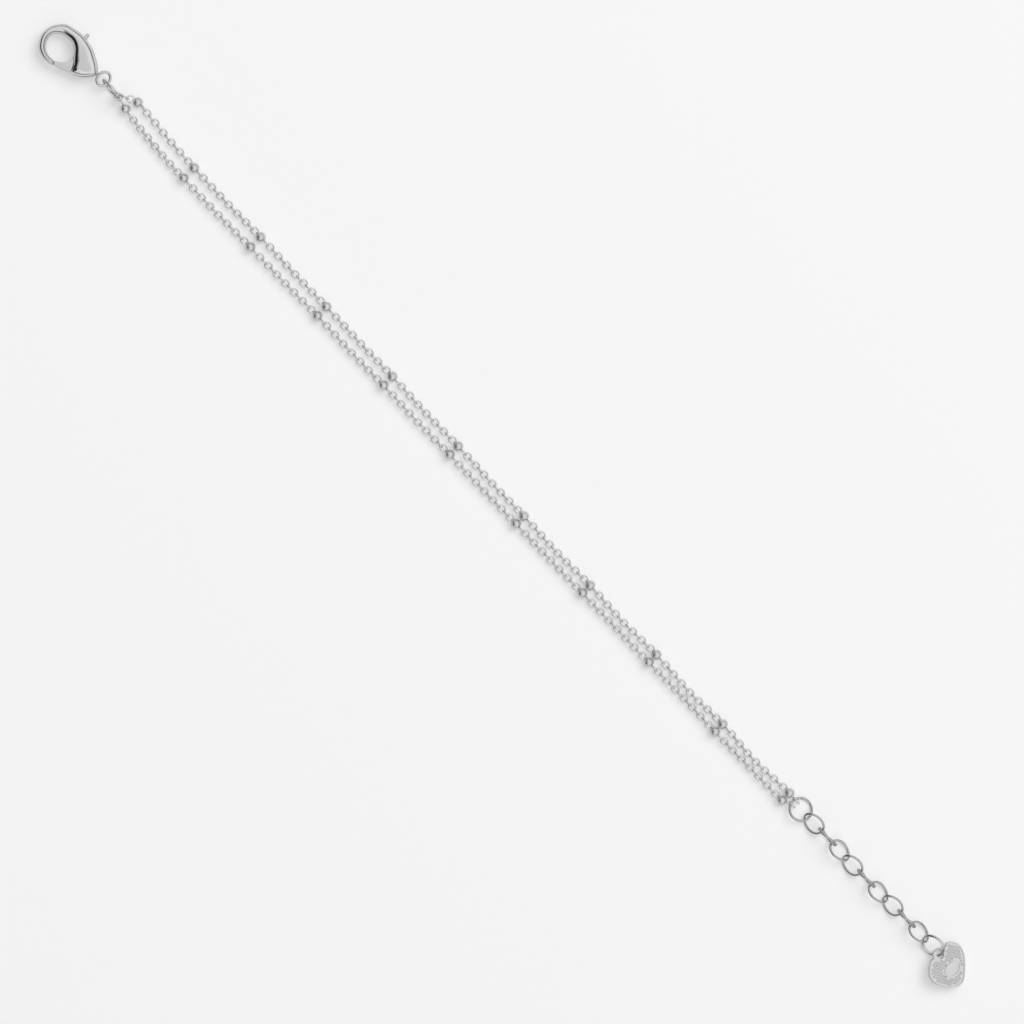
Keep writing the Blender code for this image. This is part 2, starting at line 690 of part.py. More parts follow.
def build_rings(bracelet):
    rings = (
        ("jump_ring", JUMP_RING_OUTER, JUMP_RING_WIRE, jump_ring_place()),
        ("extender_ring", EXTENDER_RING_OUTER, EXTENDER_RING_WIRE, extender_ring_place()),
        ("tag_ring", TAG_RING_OUTER, TAG_RING_WIRE, tag_ring_place()),
    )
    for name, outer, wire, place in rings:
        bracelet.add(name, split_ring(name, outer, wire), bracelet.polished, place)


def heart_place():
    """The tag leans on its upper lobe, with its hole round the tag ring's low far side."""
    turn = Matrix.Rotation(HEART_ROLL, 4, "X") @ Matrix.Rotation(HEART_PITCH, 4, "Y")
    lowest = 0.0
    for share_x, share_y, _ in HEART_OUTLINE:
        corner = Vector((share_x * HEART_LENGTH, share_y * HEART_WIDTH, -HEART_THICKNESS / 2))
        lowest = min(lowest, (turn @ corner).z)
    radius = (TAG_RING_OUTER - TAG_RING_WIRE) / 2
    ring = tag_ring_place().translation
    in_plane = (-lowest - ring.z) / math.sin(TAG_RING_ROLL)
    hole = Vector((ring.x + math.sqrt(radius ** 2 - in_plane ** 2),
                   ring.y + in_plane * math.cos(TAG_RING_ROLL), -lowest))
    return Matrix.Translation(hole) @ turn


def recess_outline():
    """The dotted field's edge: the heart's edge moved in by the rim, clear of the hole."""
    rows = [Vector((x * HEART_LENGTH, y * HEART_WIDTH)) for x, y, _ in HEART_OUTLINE]
    points = []
    for index in range(LOBE_ROWS):
        run = (rows[index + 1] - rows[index - 1]).normalized()
        points.append(rows[index] + Vector((run.y, -run.x)) * HEART_RIM)
    for degrees in (-60, 0, 60):
        angle = math.radians(degrees)
        points.append(Vector((math.cos(angle), math.sin(angle)))
                      * (HEART_HOLE_RADIUS + HEART_RIM))
    return points


def distance_inside(point, outline):
    """How far a point lies inside the outline; negative outside it."""
    inside = False
    nearest = math.inf
    for start, end in zip(outline, outline[1:] + outline[:1]):
        edge = end - start
        share = max(0.0, min(1.0, (point - start).dot(edge) / edge.length_squared))
        nearest = min(nearest, (point - start - edge * share).length)
        if (start.y > point.y) != (end.y > point.y):
            crossing = start.x + edge.x * (point.y - start.y) / edge.y
            if crossing > point.x:
                inside = not inside
    return nearest if inside else -nearest


def plaque_outline(inset):
    """The bare oval's edge, or a smaller oval inside it."""
    centre_x, centre_y = PLAQUE_CENTRE[0] * HEART_LENGTH, PLAQUE_CENTRE[1] * HEART_WIDTH
    loop = oval(PLAQUE_LENGTH / 2 - inset, PLAQUE_WIDTH / 2 - inset, LOOP_SIDES)
    return [Vector((centre_x + point.x, centre_y + point.y)) for point in loop]


def dots_mesh(recess):
    """Raised dots in staggered rows, clear of the rim and of the oval."""
    clearance = DOT_RADIUS + DOT_GAP
    row_pitch = DOT_PITCH * math.sqrt(3) / 2
    plaque = plaque_outline(0.0)
    base = HEART_THICKNESS / 2 - RELIEF_HEIGHT
    bm = bmesh.new()
    columns = math.ceil(HEART_LENGTH / row_pitch)
    rows = math.ceil(HEART_WIDTH / 2 / DOT_PITCH)
    for column in range(columns):
        for row in range(-rows, rows + 1):
            place = Vector((column * row_pitch, (row + column % 2 / 2) * DOT_PITCH))
            if distance_inside(place, recess) < clearance:
                continue
            if distance_inside(place, plaque) > -clearance:
                continue
            bmesh.ops.create_cone(
                bm, cap_ends=True, segments=6, radius1=DOT_RADIUS, radius2=DOT_TOP_RADIUS,
                depth=2 * RELIEF_HEIGHT, matrix=Matrix.Translation((place.x, place.y, base)))
    mesh = bpy.data.meshes.new("heart_dots")
    bm.to_mesh(mesh)
    bm.free()
    return mesh


def build_heart(bracelet):
    """The tag: a plate with a raised rim, a bare oval with a raised edge, and raised dots."""
    outline = [(x * HEART_LENGTH, y * HEART_WIDTH, rounded) for x, y, rounded in HEART_OUTLINE]
    plate = mesh_of(flat_curve("heart_tag", [outline], HEART_THICKNESS), "heart_tag")
    place = heart_place()
    heart = bracelet.add("heart_tag", plate, bracelet.satin, place)
    hole = bracelet.cutter("heart_hole", pin_mesh(HEART_HOLE_RADIUS, 4 * HEART_THICKNESS), place)
    boolean(heart, hole, "DIFFERENCE")

    recess = recess_outline()
    top = place @ Matrix.Translation((0, 0, HEART_THICKNESS / 2))
    fields = [[(p.x, p.y, True) for p in recess],
              [(p.x, p.y, True) for p in plaque_outline(0.0)]]
    field_mesh = mesh_of(flat_curve("heart_field", fields, 2 * RELIEF_HEIGHT, 1), "heart_field")
    boolean(heart, bracelet.cutter("heart_field", field_mesh, top), "DIFFERENCE")
    oval_field = [[(p.x, p.y, True) for p in plaque_outline(PLAQUE_BORDER)]]
    oval_mesh = mesh_of(flat_curve("heart_oval", oval_field, RELIEF_HEIGHT, 1), "heart_oval")
    boolean(heart, bracelet.cutter("heart_oval", oval_mesh, top), "DIFFERENCE")
    boolean(heart, bracelet.cutter("heart_dots", dots_mesh(recess), place), "UNION")


def set_origin(bracelet):
    """Moves the whole bracelet so that the origin is under its middle, on the table."""
    bpy.context.view_layer.update()
    depsgraph = bpy.context.evaluated_depsgraph_get()
    corners = []
    for obj in bracelet.pieces.objects:
        if obj.type == "EMPTY":
            continue
        evaluated = obj.evaluated_get(depsgraph)
        mesh = evaluated.to_mesh()
        corners.extend(evaluated.matrix_world @ vertex.co for vertex in mesh.vertices)
        evaluated.to_mesh_clear()
    low = Vector([min(corner[axis] for corner in corners) for axis in range(3)])
    high = Vector([max(corner[axis] for corner in corners) for axis in range(3)])
    bracelet.root.location = (-(low.x + high.x) / 2, -(low.y + high.y) / 2, -low.z)
    bpy.context.view_layer.update()


def main():
    clear_scene()
    bracelet = Bracelet()
    build_clasp(bracelet)
    build_lever(bracelet)
    mesh = bead_mesh()
    for strand in STRANDS:
        build_strand(bracelet, strand, mesh)
    build_rings(bracelet)
    build_extender(bracelet)
    build_heart(bracelet)
    set_origin(bracelet)


main()
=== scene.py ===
"""Looks of the bracelet: real chain links, a smooth clasp, rings, drilled beads and heart tag.

Metres, +Z up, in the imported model's frame. The pieces are made in the bracelet's own working
frame, whose X starts at the clasp's hook, and the shift to the model's origin comes from the
packed rivet. Routes, outlines and sizes repeat the CAD's, in the same units.
"""
import json
import math
import random

import bmesh
import bpy
from mathutils import Matrix, Vector

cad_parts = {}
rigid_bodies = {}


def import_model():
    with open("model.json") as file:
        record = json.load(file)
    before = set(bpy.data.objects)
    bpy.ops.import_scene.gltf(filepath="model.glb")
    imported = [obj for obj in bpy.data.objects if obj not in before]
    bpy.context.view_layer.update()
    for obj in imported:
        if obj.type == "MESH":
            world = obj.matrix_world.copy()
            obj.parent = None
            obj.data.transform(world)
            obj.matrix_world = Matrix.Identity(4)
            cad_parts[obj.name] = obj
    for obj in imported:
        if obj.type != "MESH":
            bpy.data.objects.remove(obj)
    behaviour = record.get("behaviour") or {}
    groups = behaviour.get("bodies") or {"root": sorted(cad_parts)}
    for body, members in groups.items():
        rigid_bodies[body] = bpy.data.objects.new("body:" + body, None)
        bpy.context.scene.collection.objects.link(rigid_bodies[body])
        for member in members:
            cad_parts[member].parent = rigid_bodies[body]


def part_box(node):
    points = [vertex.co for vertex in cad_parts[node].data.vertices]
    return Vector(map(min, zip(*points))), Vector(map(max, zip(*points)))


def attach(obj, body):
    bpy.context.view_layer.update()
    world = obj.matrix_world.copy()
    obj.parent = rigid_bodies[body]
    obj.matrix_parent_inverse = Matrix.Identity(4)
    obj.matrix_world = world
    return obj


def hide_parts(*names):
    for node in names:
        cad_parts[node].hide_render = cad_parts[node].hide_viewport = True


MM = 0.001

# Lobster clasp
CLASP_LENGTH = 9.8 * MM
CLASP_WIDTH = 6.5 * MM
CLASP_THICKNESS = 2.6 * MM
CLASP_Y = 0.47 * MM
CLASP_EDGE = 0.05 * MM
EYE_LENGTH = 2.24 * MM
EYE_WIDTH = 2.6 * MM
EYE_WIRE = 0.42 * MM
EYE_OFFSET_Y = 0.99 * MM
JUMP_RING_OFFSET_Y = -0.22 * MM
LEVER_THICKNESS = 0.8 * MM
LEVER_CLEARANCE = 0.07 * MM
LEVER_EDGE = 0.12 * MM
RIVET_RADIUS = 0.25 * MM
RIVET_CLEARANCE = 0.04 * MM
RIVET_LENGTH = 2.12 * MM
RIVET_DOME = 0.06 * MM
PIVOT_SHARE = (0.738, -0.150)

# Rings
JUMP_RING_OUTER = 3.65 * MM
JUMP_RING_WIRE = 0.44 * MM
EXTENDER_RING_OUTER = 3.7 * MM
EXTENDER_RING_WIRE = 0.36 * MM
TAG_RING_OUTER = 3.88 * MM
TAG_RING_WIRE = 0.42 * MM
TAG_RING_Y = 0.16 * MM
RING_SLIT = 0.08 * MM
JUMP_RING_SLIT_TURN = math.radians(150)
EXTENDER_RING_SLIT_TURN = math.radians(40)
TAG_RING_SLIT_TURN = math.radians(130)
PIECE_GAP = 0.06 * MM

# Strands
BEADS_PER_STRAND = 11
BEAD_DIAMETER = 1.5 * MM
BEAD_HOLE = 0.72 * MM
BEAD_LIP = 0.05 * MM
BEAD_LIP_ROUND = 0.3
BEAD_AXIS_REACH = BEAD_DIAMETER / 3
BEAD_PITCH = 14.03 * MM
SECOND_BEAD_REACH = 15.06 * MM
CHAIN_WIDTH = 1.14 * MM
CHAIN_RAMP = 3.3 * MM
END_LINK_LENGTH = 1.33 * MM
END_LINK_WIDTH = 1.15 * MM
END_LINK_WIRE = 0.22 * MM
END_LINK_PLAY = 0.13 * MM
FINE_LINK_LENGTH = 1.4 * MM
FINE_LINK_WIDTH = 1.18 * MM
FINE_LINK_WIRE = 0.23 * MM
FINE_LINK_PITCH = 0.8975 * MM
CONNECTOR_WIDTH = 0.6 * MM
CONNECTOR_WIRE = 0.17 * MM
CONNECTOR_PLAY = 0.02 * MM
CONNECTOR_ROLL = 45
LINK_AFTER_BEAD = 1.10 * MM
LINK_BEFORE_BEAD = 1.30 * MM
LINK_ROLL_SPREAD = 7.0

# Extender
LINK_LENGTH = 3.74 * MM
LINK_WIDTH = 2.88 * MM
LINK_WIRE = 0.34 * MM
LINK_PLAY = 0.29 * MM
LINK_TWIST = math.radians(-30)

# Heart tag
HEART_LENGTH = 6.27 * MM
HEART_WIDTH = 6.55 * MM
HEART_THICKNESS = 0.6 * MM
HEART_EDGE = 0.06 * MM
HEART_CUT_EDGE = 0.02 * MM
HEART_HOLE_RADIUS = 0.58 * MM
HEART_RIM = 0.15 * MM
HOLE_RIM_DEGREES = (-60, 0, 60)
RELIEF_HEIGHT = 0.11 * MM
DOT_RADIUS = 0.19 * MM
DOT_PITCH = 0.48 * MM
DOT_GAP = 0.03 * MM
PLAQUE_LENGTH = 1.95 * MM
PLAQUE_WIDTH = 2.8 * MM
PLAQUE_BORDER = 0.16 * MM
PLAQUE_CENTRE = (0.450, -0.006)
LOBE_ROWS = 17

# Tilts of the pieces that lie across one another
JUMP_RING_YAW = math.radians(-2)
JUMP_RING_LEAN = math.radians(7)
EXTENDER_RING_ROLL = math.radians(-15)
TAG_RING_ROLL = math.radians(45)
HEART_ROLL = math.radians(-13)
HEART_PITCH = math.radians(7)

# Camera: the photograph's middle on the bracelet and the width that it shows
CAMERA_AIM = (98.0 * MM, 0.176 * MM)
CAMERA_TURN = math.radians(45.833)
VIEW_WIDTH = 150.0 * MM
LENS = 150.0
SENSOR = 36.0

# Studio. The sky's stops: a direction's Z and its brightness. The dark side is low at the
# photograph's left; it fades between two cosines of the angle to its middle.
SKY_STOPS = ((0.0, 0.05), (0.16, 0.08), (0.34, 0.45), (0.56, 1.0), (0.85, 1.0), (1.0, 0.8))
SKY_STRENGTH = 0.9
DARK_SIDE = (-0.62, -0.64, 0.45)
DARK_SIDE_EDGE = 0.67
DARK_SIDE_CORE = 0.89
DARK_SIDE_LEVEL = 0.02
KEY_PLACE = (0.09, 1.08, 1.2)
KEY_SIZE = 1.2
KEY_WATTS = 13.5
FLOOR_HALF_SIZE = 1.5
FLOOR_DROP = 0.01 * MM
FLOOR_COLOUR = (0.62, 0.622, 0.622)
FLOOR_GLOW = 0.32

# Metal finishes. Columns: colour, lowest roughness, spread of the roughness.
POLISHED = ((0.79, 0.79, 0.8), 0.1, 0.05)
WIRE = ((0.59, 0.59, 0.6), 0.06, 0.05)
BEAD = ((0.85, 0.85, 0.86), 0.38, 0.06)
CHAIN = ((0.9, 0.9, 0.905), 0.24, 0.08)
SATIN = ((0.8, 0.8, 0.805), 0.3, 0.08)
# Near-black: painted shade on the rivet, for the dark hole round the lever's pivot.
PAINTED_PIN_SHADE = ((0.06, 0.06, 0.065), 0.4, 0.1)
EDGE_TINT = (0.35, 0.35, 0.36)
WEAR_TONE = 0.93
WEAR_SCALE = 900.0
GRAIN_SCALE = 9000.0

# Clasp sections round the hook, from its tip to the neck of the eye. Columns: outer x, outer y,
# inner x, inner y, thickness, as shares of the clasp's length, width and thickness, then the
# exponent of the section's superellipse.
CLASP_SECTIONS = (
    (0.432, -0.450, 0.424, -0.388, 0.30, 2.0),
    (0.423, -0.471, 0.411, -0.368, 0.50, 2.0),
    (0.283, -0.500, 0.291, -0.368, 0.56, 2.0),
    (0.127, -0.416, 0.186, -0.296, 0.60, 2.0),
    (0.022, -0.210, 0.118, -0.161, 0.62, 2.0),
    (0.000, 0.000, 0.103, -0.030, 0.62, 2.0),
    (0.036, 0.197, 0.133, 0.085, 0.62, 2.0),
    (0.148, 0.397, 0.216, 0.186, 0.66, 2.1),
    (0.291, 0.466, 0.313, 0.218, 0.74, 2.2),
    (0.420, 0.500, 0.403, 0.220, 0.85, 2.4),
    (0.520, 0.497, 0.493, 0.148, 0.93, 2.5),
    (0.620, 0.475, 0.583, 0.002, 1.00, 2.6),
    (0.720, 0.428, 0.651, -0.117, 1.00, 2.6),
    (0.800, 0.365, 0.718, -0.278, 1.00, 2.6),
    (0.880, 0.300, 0.800, -0.240, 0.97, 2.6),
    (0.935, 0.242, 0.875, -0.170, 0.90, 2.5),
    (0.970, 0.190, 0.940, -0.060, 0.76, 2.4),
    (0.990, 0.160, 0.985, 0.035, 0.60, 2.2),
    (1.005, 0.170, 1.005, 0.085, 0.42, 2.0),
    (1.027, 0.180, 1.027, 0.120, 0.26, 2.0),
)
# The slot's outline, in shares of the clasp's length and width
SLOT_OUTLINE = (
    (0.444, -0.565), (0.444, -0.296), (0.411, -0.072), (0.415, 0.186), (0.453, 0.646),
    (0.846, 0.646), (0.828, -0.072), (0.819, -0.285), (0.741, -0.430),
)
# The lever's outline in the same shares, round from the gate's tip. Columns: x, y, rounded.
LEVER_OUTLINE = (
    (0.448, -0.444, False), (0.531, -0.399, True), (0.621, -0.341, True),
    (0.688, -0.283, True), (0.738, -0.244, True), (0.789, -0.206, True),
    (0.801, -0.143, True), (0.780, -0.067, True), (0.741, 0.029, True),
    (0.681, 0.152, True), (0.613, 0.332, True), (0.553, 0.455, True),
    (0.519, 0.520, True), (0.510, 0.595, True), (0.489, 0.616, True),
    (0.467, 0.598, True), (0.467, 0.500, True), (0.458, 0.377, True),
    (0.438, 0.265, True), (0.433, 0.204, False), (0.501, 0.135, True),
    (0.561, 0.040, True), (0.588, -0.083, True), (0.564, -0.177, True),
    (0.493, -0.287, True), (0.426, -0.352, False),
)

# The heart's outline round its hole, in shares of its length and width. Columns: x, y, rounded.
HEART_OUTLINE = (
    (-0.082, 0.294, True), (-0.035, 0.383, True), (0.040, 0.443, True), (0.145, 0.473, True),
    (0.301, 0.459, True), (0.488, 0.355, True), (0.675, 0.187, True), (0.815, 0.022, True),
    (0.848, -0.084, True), (0.806, -0.227, True), (0.689, -0.356, True),
    (0.519, -0.469, True), (0.362, -0.527, True), (0.208, -0.514, True),
    (0.082, -0.437, True), (-0.012, -0.324, True), (-0.054, -0.204, True),
    (-0.042, -0.159, False), (-0.143, -0.102, True), (-0.156, -0.002, True),
    (-0.112, 0.113, True), (-0.042, 0.203, True),
)

# The strands' routes, chosen points: bead number along the strand, sideways place in mm.
UPPER_ROUTE = (
    (1.0, 2.74), (1.15, 2.55), (1.57, 2.14), (2.0, 1.89), (2.5, 1.77),
    (3.0, 1.82), (3.5, 1.66), (4.0, 1.63), (4.5, 1.47), (5.0, 1.44), (5.5, 1.23),
    (6.0, 1.24), (6.5, 1.01), (7.0, 1.01), (7.5, 0.79), (8.0, 0.89), (8.5, 0.63),
    (9.0, 0.79), (9.5, 0.46), (10.0, 0.66), (10.5, 0.30), (11.0, 0.645),
)
LOWER_ROUTE = (
    (1.0, 0.615), (1.28, 0.235), (1.69, -0.18), (2.0, -0.28), (2.5, -0.34),
    (3.0, -0.29), (3.5, -0.31), (4.0, -0.26), (4.5, -0.41), (5.0, -0.41), (5.5, -0.53),
    (6.0, -0.53), (6.5, -0.60), (7.0, -0.63), (7.5, -0.69), (8.0, -0.72), (8.5, -0.75),
    (9.0, -0.805), (9.5, -0.79), (10.0, -0.92), (10.5, -0.94), (11.0, -0.91),
)
# Each strand: its route, its first bead's reach from the jump ring's wire, its first link's
# height on that ring, the heading and the slope of that link in degrees, and the sideways place
# of its last link.
STRANDS = {
    "upper": (UPPER_ROUTE, 2.44 * MM, 2.05 * MM, 50, -25, 0.59 * MM),
    "lower": (LOWER_ROUTE, 1.86 * MM, 1.15 * MM, -8, -10, -0.29 * MM),
}
# Each extender link's sideways place in mm, turn in degrees at its middle, and pitch in degrees
EXTENDER_TABLE = (
    (0.10, 30, -5), (0.15, 90, 0), (0.09, -30, 5), (-0.10, 30, -5), (0.00, 90, 0),
    (-0.10, -30, 5), (0.02, 30, -5), (0.12, 90, 0), (0.08, -30, 5),
)

# Facets of the smooth pieces
SHELL_SIDES = 48
SHELL_STEPS = 8
LOOP_STEPS = 72
WIRE_RESOLUTION = 6
OUTLINE_STEPS = 10
FIELD_STEPS = 6
PLATE_EDGE_STEPS = 3
EDGE_STEPS = 2
EDGE_DEGREES = 50
SHARP_DEGREES = 35
PIN_SIDES = 48
PLAQUE_STEPS = 24
DOT_SEGMENTS = 20
DOT_RINGS = 12
MERGE_DISTANCE = 1e-8
FINE_LINK_STEPS = 28
FINE_LINK_SIDES = 10
BEAD_SIDES = 40
BEAD_ROWS = 24
ROUTE_STEP = 0.05 * MM
CHAIN_SEED = 7


def clasp_point(share_x, share_y, height=0.0):
    return Vector((share_x * CLASP_LENGTH, CLASP_Y + share_y * CLASP_WIDTH, height))


def pivot_point():
    return clasp_point(*PIVOT_SHARE, CLASP_THICKNESS / 2)


def start_scene():
    """Loads the frame and returns the shift from the working frame to the model's."""
    for obj in list(bpy.data.objects):
        bpy.data.objects.remove(obj, do_unlink=True)
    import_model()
    low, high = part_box("clasp_rivet")
    return (low + high) / 2 - pivot_point()


class Dresser:
    """Places each finished piece and hides the CAD parts that it stands for."""

    def __init__(self, shift):
        self.shift = Matrix.Translation(shift)
        self.polished = silver("polished_silver_finish", *POLISHED)
        self.wire = silver("wire_silver_finish", *WIRE)
        self.bead = silver("bead_silver_finish", *BEAD)
        self.chain = silver("chain_silver_finish", *CHAIN)
        self.satin = satin_silver("tag_silver_finish")
        # The rivet's finish is painted shade: near-black for the dark hole round the pivot.
        self.pin_shade = silver("painted_pin_shade", *PAINTED_PIN_SHADE)

    def add(self, name, data, material, slot, nodes, place=None, body="bracelet"):
        """The place goes into the points, so the object's box is the piece's own."""
        if place:
            data = data.copy()
            data.transform(place)
        obj = bpy.data.objects.new(name, data)
        bpy.context.scene.collection.objects.link(obj)
        data.materials.clear()
        data.materials.append(material)
        obj.matrix_world = self.shift
        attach(obj, body)
        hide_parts(*nodes)
        return obj


def boolean(obj, other, operation):
    modifier = obj.modifiers.new(operation.lower(), "BOOLEAN")
    modifier.operation = operation
    modifier.solver = "EXACT"
    modifier.object = other


def helper_object(data, place=None):
    """An object that is only there while a mesh is being worked out."""
    obj = bpy.data.objects.new("helper", data)
    bpy.context.scene.collection.objects.link(obj)
    obj.matrix_world = place or Matrix.Identity(4)
    return obj


def evaluated_mesh(obj, name, helpers=()):
    """The object's mesh with its modifiers applied; the object and its helpers go."""
    bpy.context.view_layer.update()
    depsgraph = bpy.context.evaluated_depsgraph_get()
    mesh = bpy.data.meshes.new_from_object(obj.evaluated_get(depsgraph))
    mesh.name = name
    for helper in (obj, *helpers):
        bpy.data.objects.remove(helper, do_unlink=True)
    bm = bmesh.new()
    bm.from_mesh(mesh)
    bmesh.ops.remove_doubles(bm, verts=bm.verts, dist=MERGE_DISTANCE)
    bm.to_mesh(mesh)
    bm.free()
    return mesh


def shade(mesh, sharp_degrees=SHARP_DEGREES):
    mesh.shade_smooth()
    mesh.set_sharp_from_angle(angle=math.radians(sharp_degrees))


def wire_curve(name, points, wire, cyclic):
    """A round wire along the points."""
    curve = bpy.data.curves.new(name, "CURVE")
    curve.dimensions = "3D"
    curve.bevel_depth = wire / 2
    curve.bevel_resolution = WIRE_RESOLUTION
    curve.use_fill_caps = not cyclic
    spline = curve.splines.new("POLY")
    spline.points.add(len(points) - 1)
    for index, point in enumerate(points):
        spline.points[index].co = (*point, 1.0)
    spline.use_smooth = True
    spline.use_cyclic_u = cyclic
    return curve


def flat_curve(name, outlines, thickness, edge=0.0, resolution=OUTLINE_STEPS):
    """A plate with rounded edges from closed outlines of (x, y, rounded) in metres."""
    curve = bpy.data.curves.new(name, "CURVE")
    curve.dimensions = "2D"
    curve.fill_mode = "BOTH"
    curve.extrude = thickness / 2 - edge
    curve.bevel_depth = edge
    curve.bevel_resolution = PLATE_EDGE_STEPS
    curve.offset = -edge
    curve.resolution_u = resolution
    for outline in outlines:
        spline = curve.splines.new("BEZIER")
        spline.bezier_points.add(len(outline) - 1)
        for index, (x, y, rounded) in enumerate(outline):
            point = spline.bezier_points[index]
            point.co = (x, y, 0.0)
            handle = "AUTO" if rounded else "VECTOR"
            point.handle_left_type = handle
            point.handle_right_type = handle
        spline.use_cyclic_u = True
    return curve


def catmull_rom(before, start, end, after, share):
    """Each column's value at a share of the way from start to end, on a smooth curve."""
    squared = share * share
    cubed = squared * share
    values = []
    for a, b, c, d in zip(before, start, end, after):
        values.append(0.5 * (2 * b + (c - a) * share + (2 * a - 5 * b + 4 * c - d) * squared
                             + (3 * b - a - 3 * c + d) * cubed))
    return tuple(values)


def refined(rows, steps):
    """The table's rows with steps - 1 smooth rows added between each pair."""
    last = len(rows) - 1
    result = []
    for index in range(last):
        before = rows[max(index - 1, 0)]
        after = rows[min(index + 2, last)]
        for step in range(steps):
            result.append(catmull_rom(before, rows[index], rows[index + 1], after, step / steps))
    result.append(rows[last])
    return result


def superellipse(angle, exponent):
    """A point of the unit superellipse."""
    across, up = math.cos(angle), math.sin(angle)
    power = 2.0 / exponent
    return (math.copysign(abs(across) ** power, across), math.copysign(abs(up) ** power, up))


def oval(half_length, half_width, count):
    points = []
    for index in range(count):
        angle = math.tau * index / count
        points.append(Vector((half_length * math.cos(angle), half_width * math.sin(angle), 0)))
    return points


def loft(rings):
    """A closed surface through rings of points, with a face on each end."""
    bm = bmesh.new()
    made = [[bm.verts.new(point) for point in ring] for ring in rings]
    count = len(made[0])
    for ring, following in zip(made, made[1:]):
        for side in range(count):
            after = (side + 1) % count
            bm.faces.new((ring[side], ring[after], following[after], following[side]))
    bm.faces.new(made[0])
    bm.faces.new(made[-1])
    bmesh.ops.recalc_face_normals(bm, faces=bm.faces)
    mesh = bpy.data.meshes.new("loft")
    bm.to_mesh(mesh)
    bm.free()
    return mesh


def turned(profile, sides, closed):
    """A surface turned round Z from (radius, height) points; an open profile ends on the axis."""
    bm = bmesh.new()
    columns = []
    for side in range(sides):
        angle = math.tau * side / sides
        column = []
        for radius, height in profile:
            column.append(bm.verts.new((radius * math.cos(angle), radius * math.sin(angle),
                                        height)))
        columns.append(column)
    rows = len(profile)
    for side in range(sides):
        column, following = columns[side], columns[(side + 1) % sides]
        for row in range(rows if closed else rows - 1):
            after = (row + 1) % rows
            bm.faces.new((column[row], following[row], following[after], column[after]))
    bmesh.ops.remove_doubles(bm, verts=bm.verts, dist=MERGE_DISTANCE)
    bmesh.ops.recalc_face_normals(bm, faces=bm.faces)
    mesh = bpy.data.meshes.new("turned")
    bm.to_mesh(mesh)
    bm.free()
    shade(mesh)
    return mesh


def pin_mesh(radius, length):
    half = length / 2
    profile = [(0, -half), (radius, -half), (radius, half), (0, half)]
    return turned(profile, PIN_SIDES, False)


def clasp_shell():
    """The hook and body of the clasp, lofted through its sections."""
    rings = []
    for row in refined(CLASP_SECTIONS, SHELL_STEPS):
        outer_x, outer_y, inner_x, inner_y, thickness, exponent = row
        outer = clasp_point(outer_x, outer_y)
        inner = clasp_point(inner_x, inner_y)
        middle = (outer + inner) / 2
        across = (outer - inner) / 2
        ring = []
        for side in range(SHELL_SIDES):
            reach, rise = superellipse(math.tau * side / SHELL_SIDES, exponent)
            height = CLASP_THICKNESS / 2 * (1 + thickness * rise)
            ring.append(middle + across * reach + Vector((0, 0, height)))
        rings.append(ring)
    return loft(rings)


def eye_centre():
    """The eye's left wire is sunk in the end of the clasp's neck."""
    neck_x = CLASP_SECTIONS[-1][0] * CLASP_LENGTH
    return Vector((neck_x + (EYE_LENGTH - EYE_WIRE) / 2, CLASP_Y + EYE_OFFSET_Y,
                   CLASP_THICKNESS / 2))


def build_clasp(dresser):
    """The shell with its eye, cut open for the lever, and the rivet."""
    body = helper_object(clasp_shell())
    loop = oval((EYE_LENGTH - EYE_WIRE) / 2, (EYE_WIDTH - EYE_WIRE) / 2, LOOP_STEPS)
    eye_wire = helper_object(wire_curve("clasp_eye", loop, EYE_WIRE, True))
    eye = helper_object(evaluated_mesh(eye_wire, "clasp_eye"),
                        Matrix.Translation(eye_centre()))
    boolean(body, eye, "UNION")

    slot_outline = []
    for share_x, share_y in SLOT_OUTLINE:
        point = clasp_point(share_x, share_y)
        slot_outline.append((point.x, point.y, False))
    slot_height = LEVER_THICKNESS + 2 * LEVER_CLEARANCE
    slot_plate = helper_object(flat_curve("lever_slot", [slot_outline], slot_height))
    slot = helper_object(evaluated_mesh(slot_plate, "lever_slot"),
                         Matrix.Translation((0, 0, CLASP_THICKNESS / 2)))
    boolean(body, slot, "DIFFERENCE")
    hole = helper_object(pin_mesh(RIVET_RADIUS + RIVET_CLEARANCE, 2 * CLASP_THICKNESS),
                         Matrix.Translation(pivot_point()))
    boolean(body, hole, "DIFFERENCE")
    mesh = evaluated_mesh(body, "clasp_body", (eye, slot, hole))
    shade(mesh)
    clasp = dresser.add("clasp_shell", mesh, dresser.polished, "polished_silver", ["clasp_body"])
    soften(clasp, CLASP_EDGE)

    half, crown = RIVET_LENGTH / 2, RIVET_DOME
    profile = [(0, -half), (RIVET_RADIUS - crown, -half), (RIVET_RADIUS, crown - half),
               (RIVET_RADIUS, half - crown), (RIVET_RADIUS - crown, half), (0, half)]
    # The rivet's near-black colour is painted shade for the dark hole at the pivot.
    dresser.add("clasp_pin", turned(profile, PIN_SIDES, False), dresser.pin_shade,
                "polished_silver", ["clasp_rivet"], Matrix.Translation(pivot_point()))


def soften(obj, width):
    """A fine round on the sharp edges, so that they catch the light."""
    bevel = obj.modifiers.new("edge", "BEVEL")
    bevel.width = width
    bevel.segments = EDGE_STEPS
    bevel.limit_method = "ANGLE"
    bevel.angle_limit = math.radians(EDGE_DEGREES)


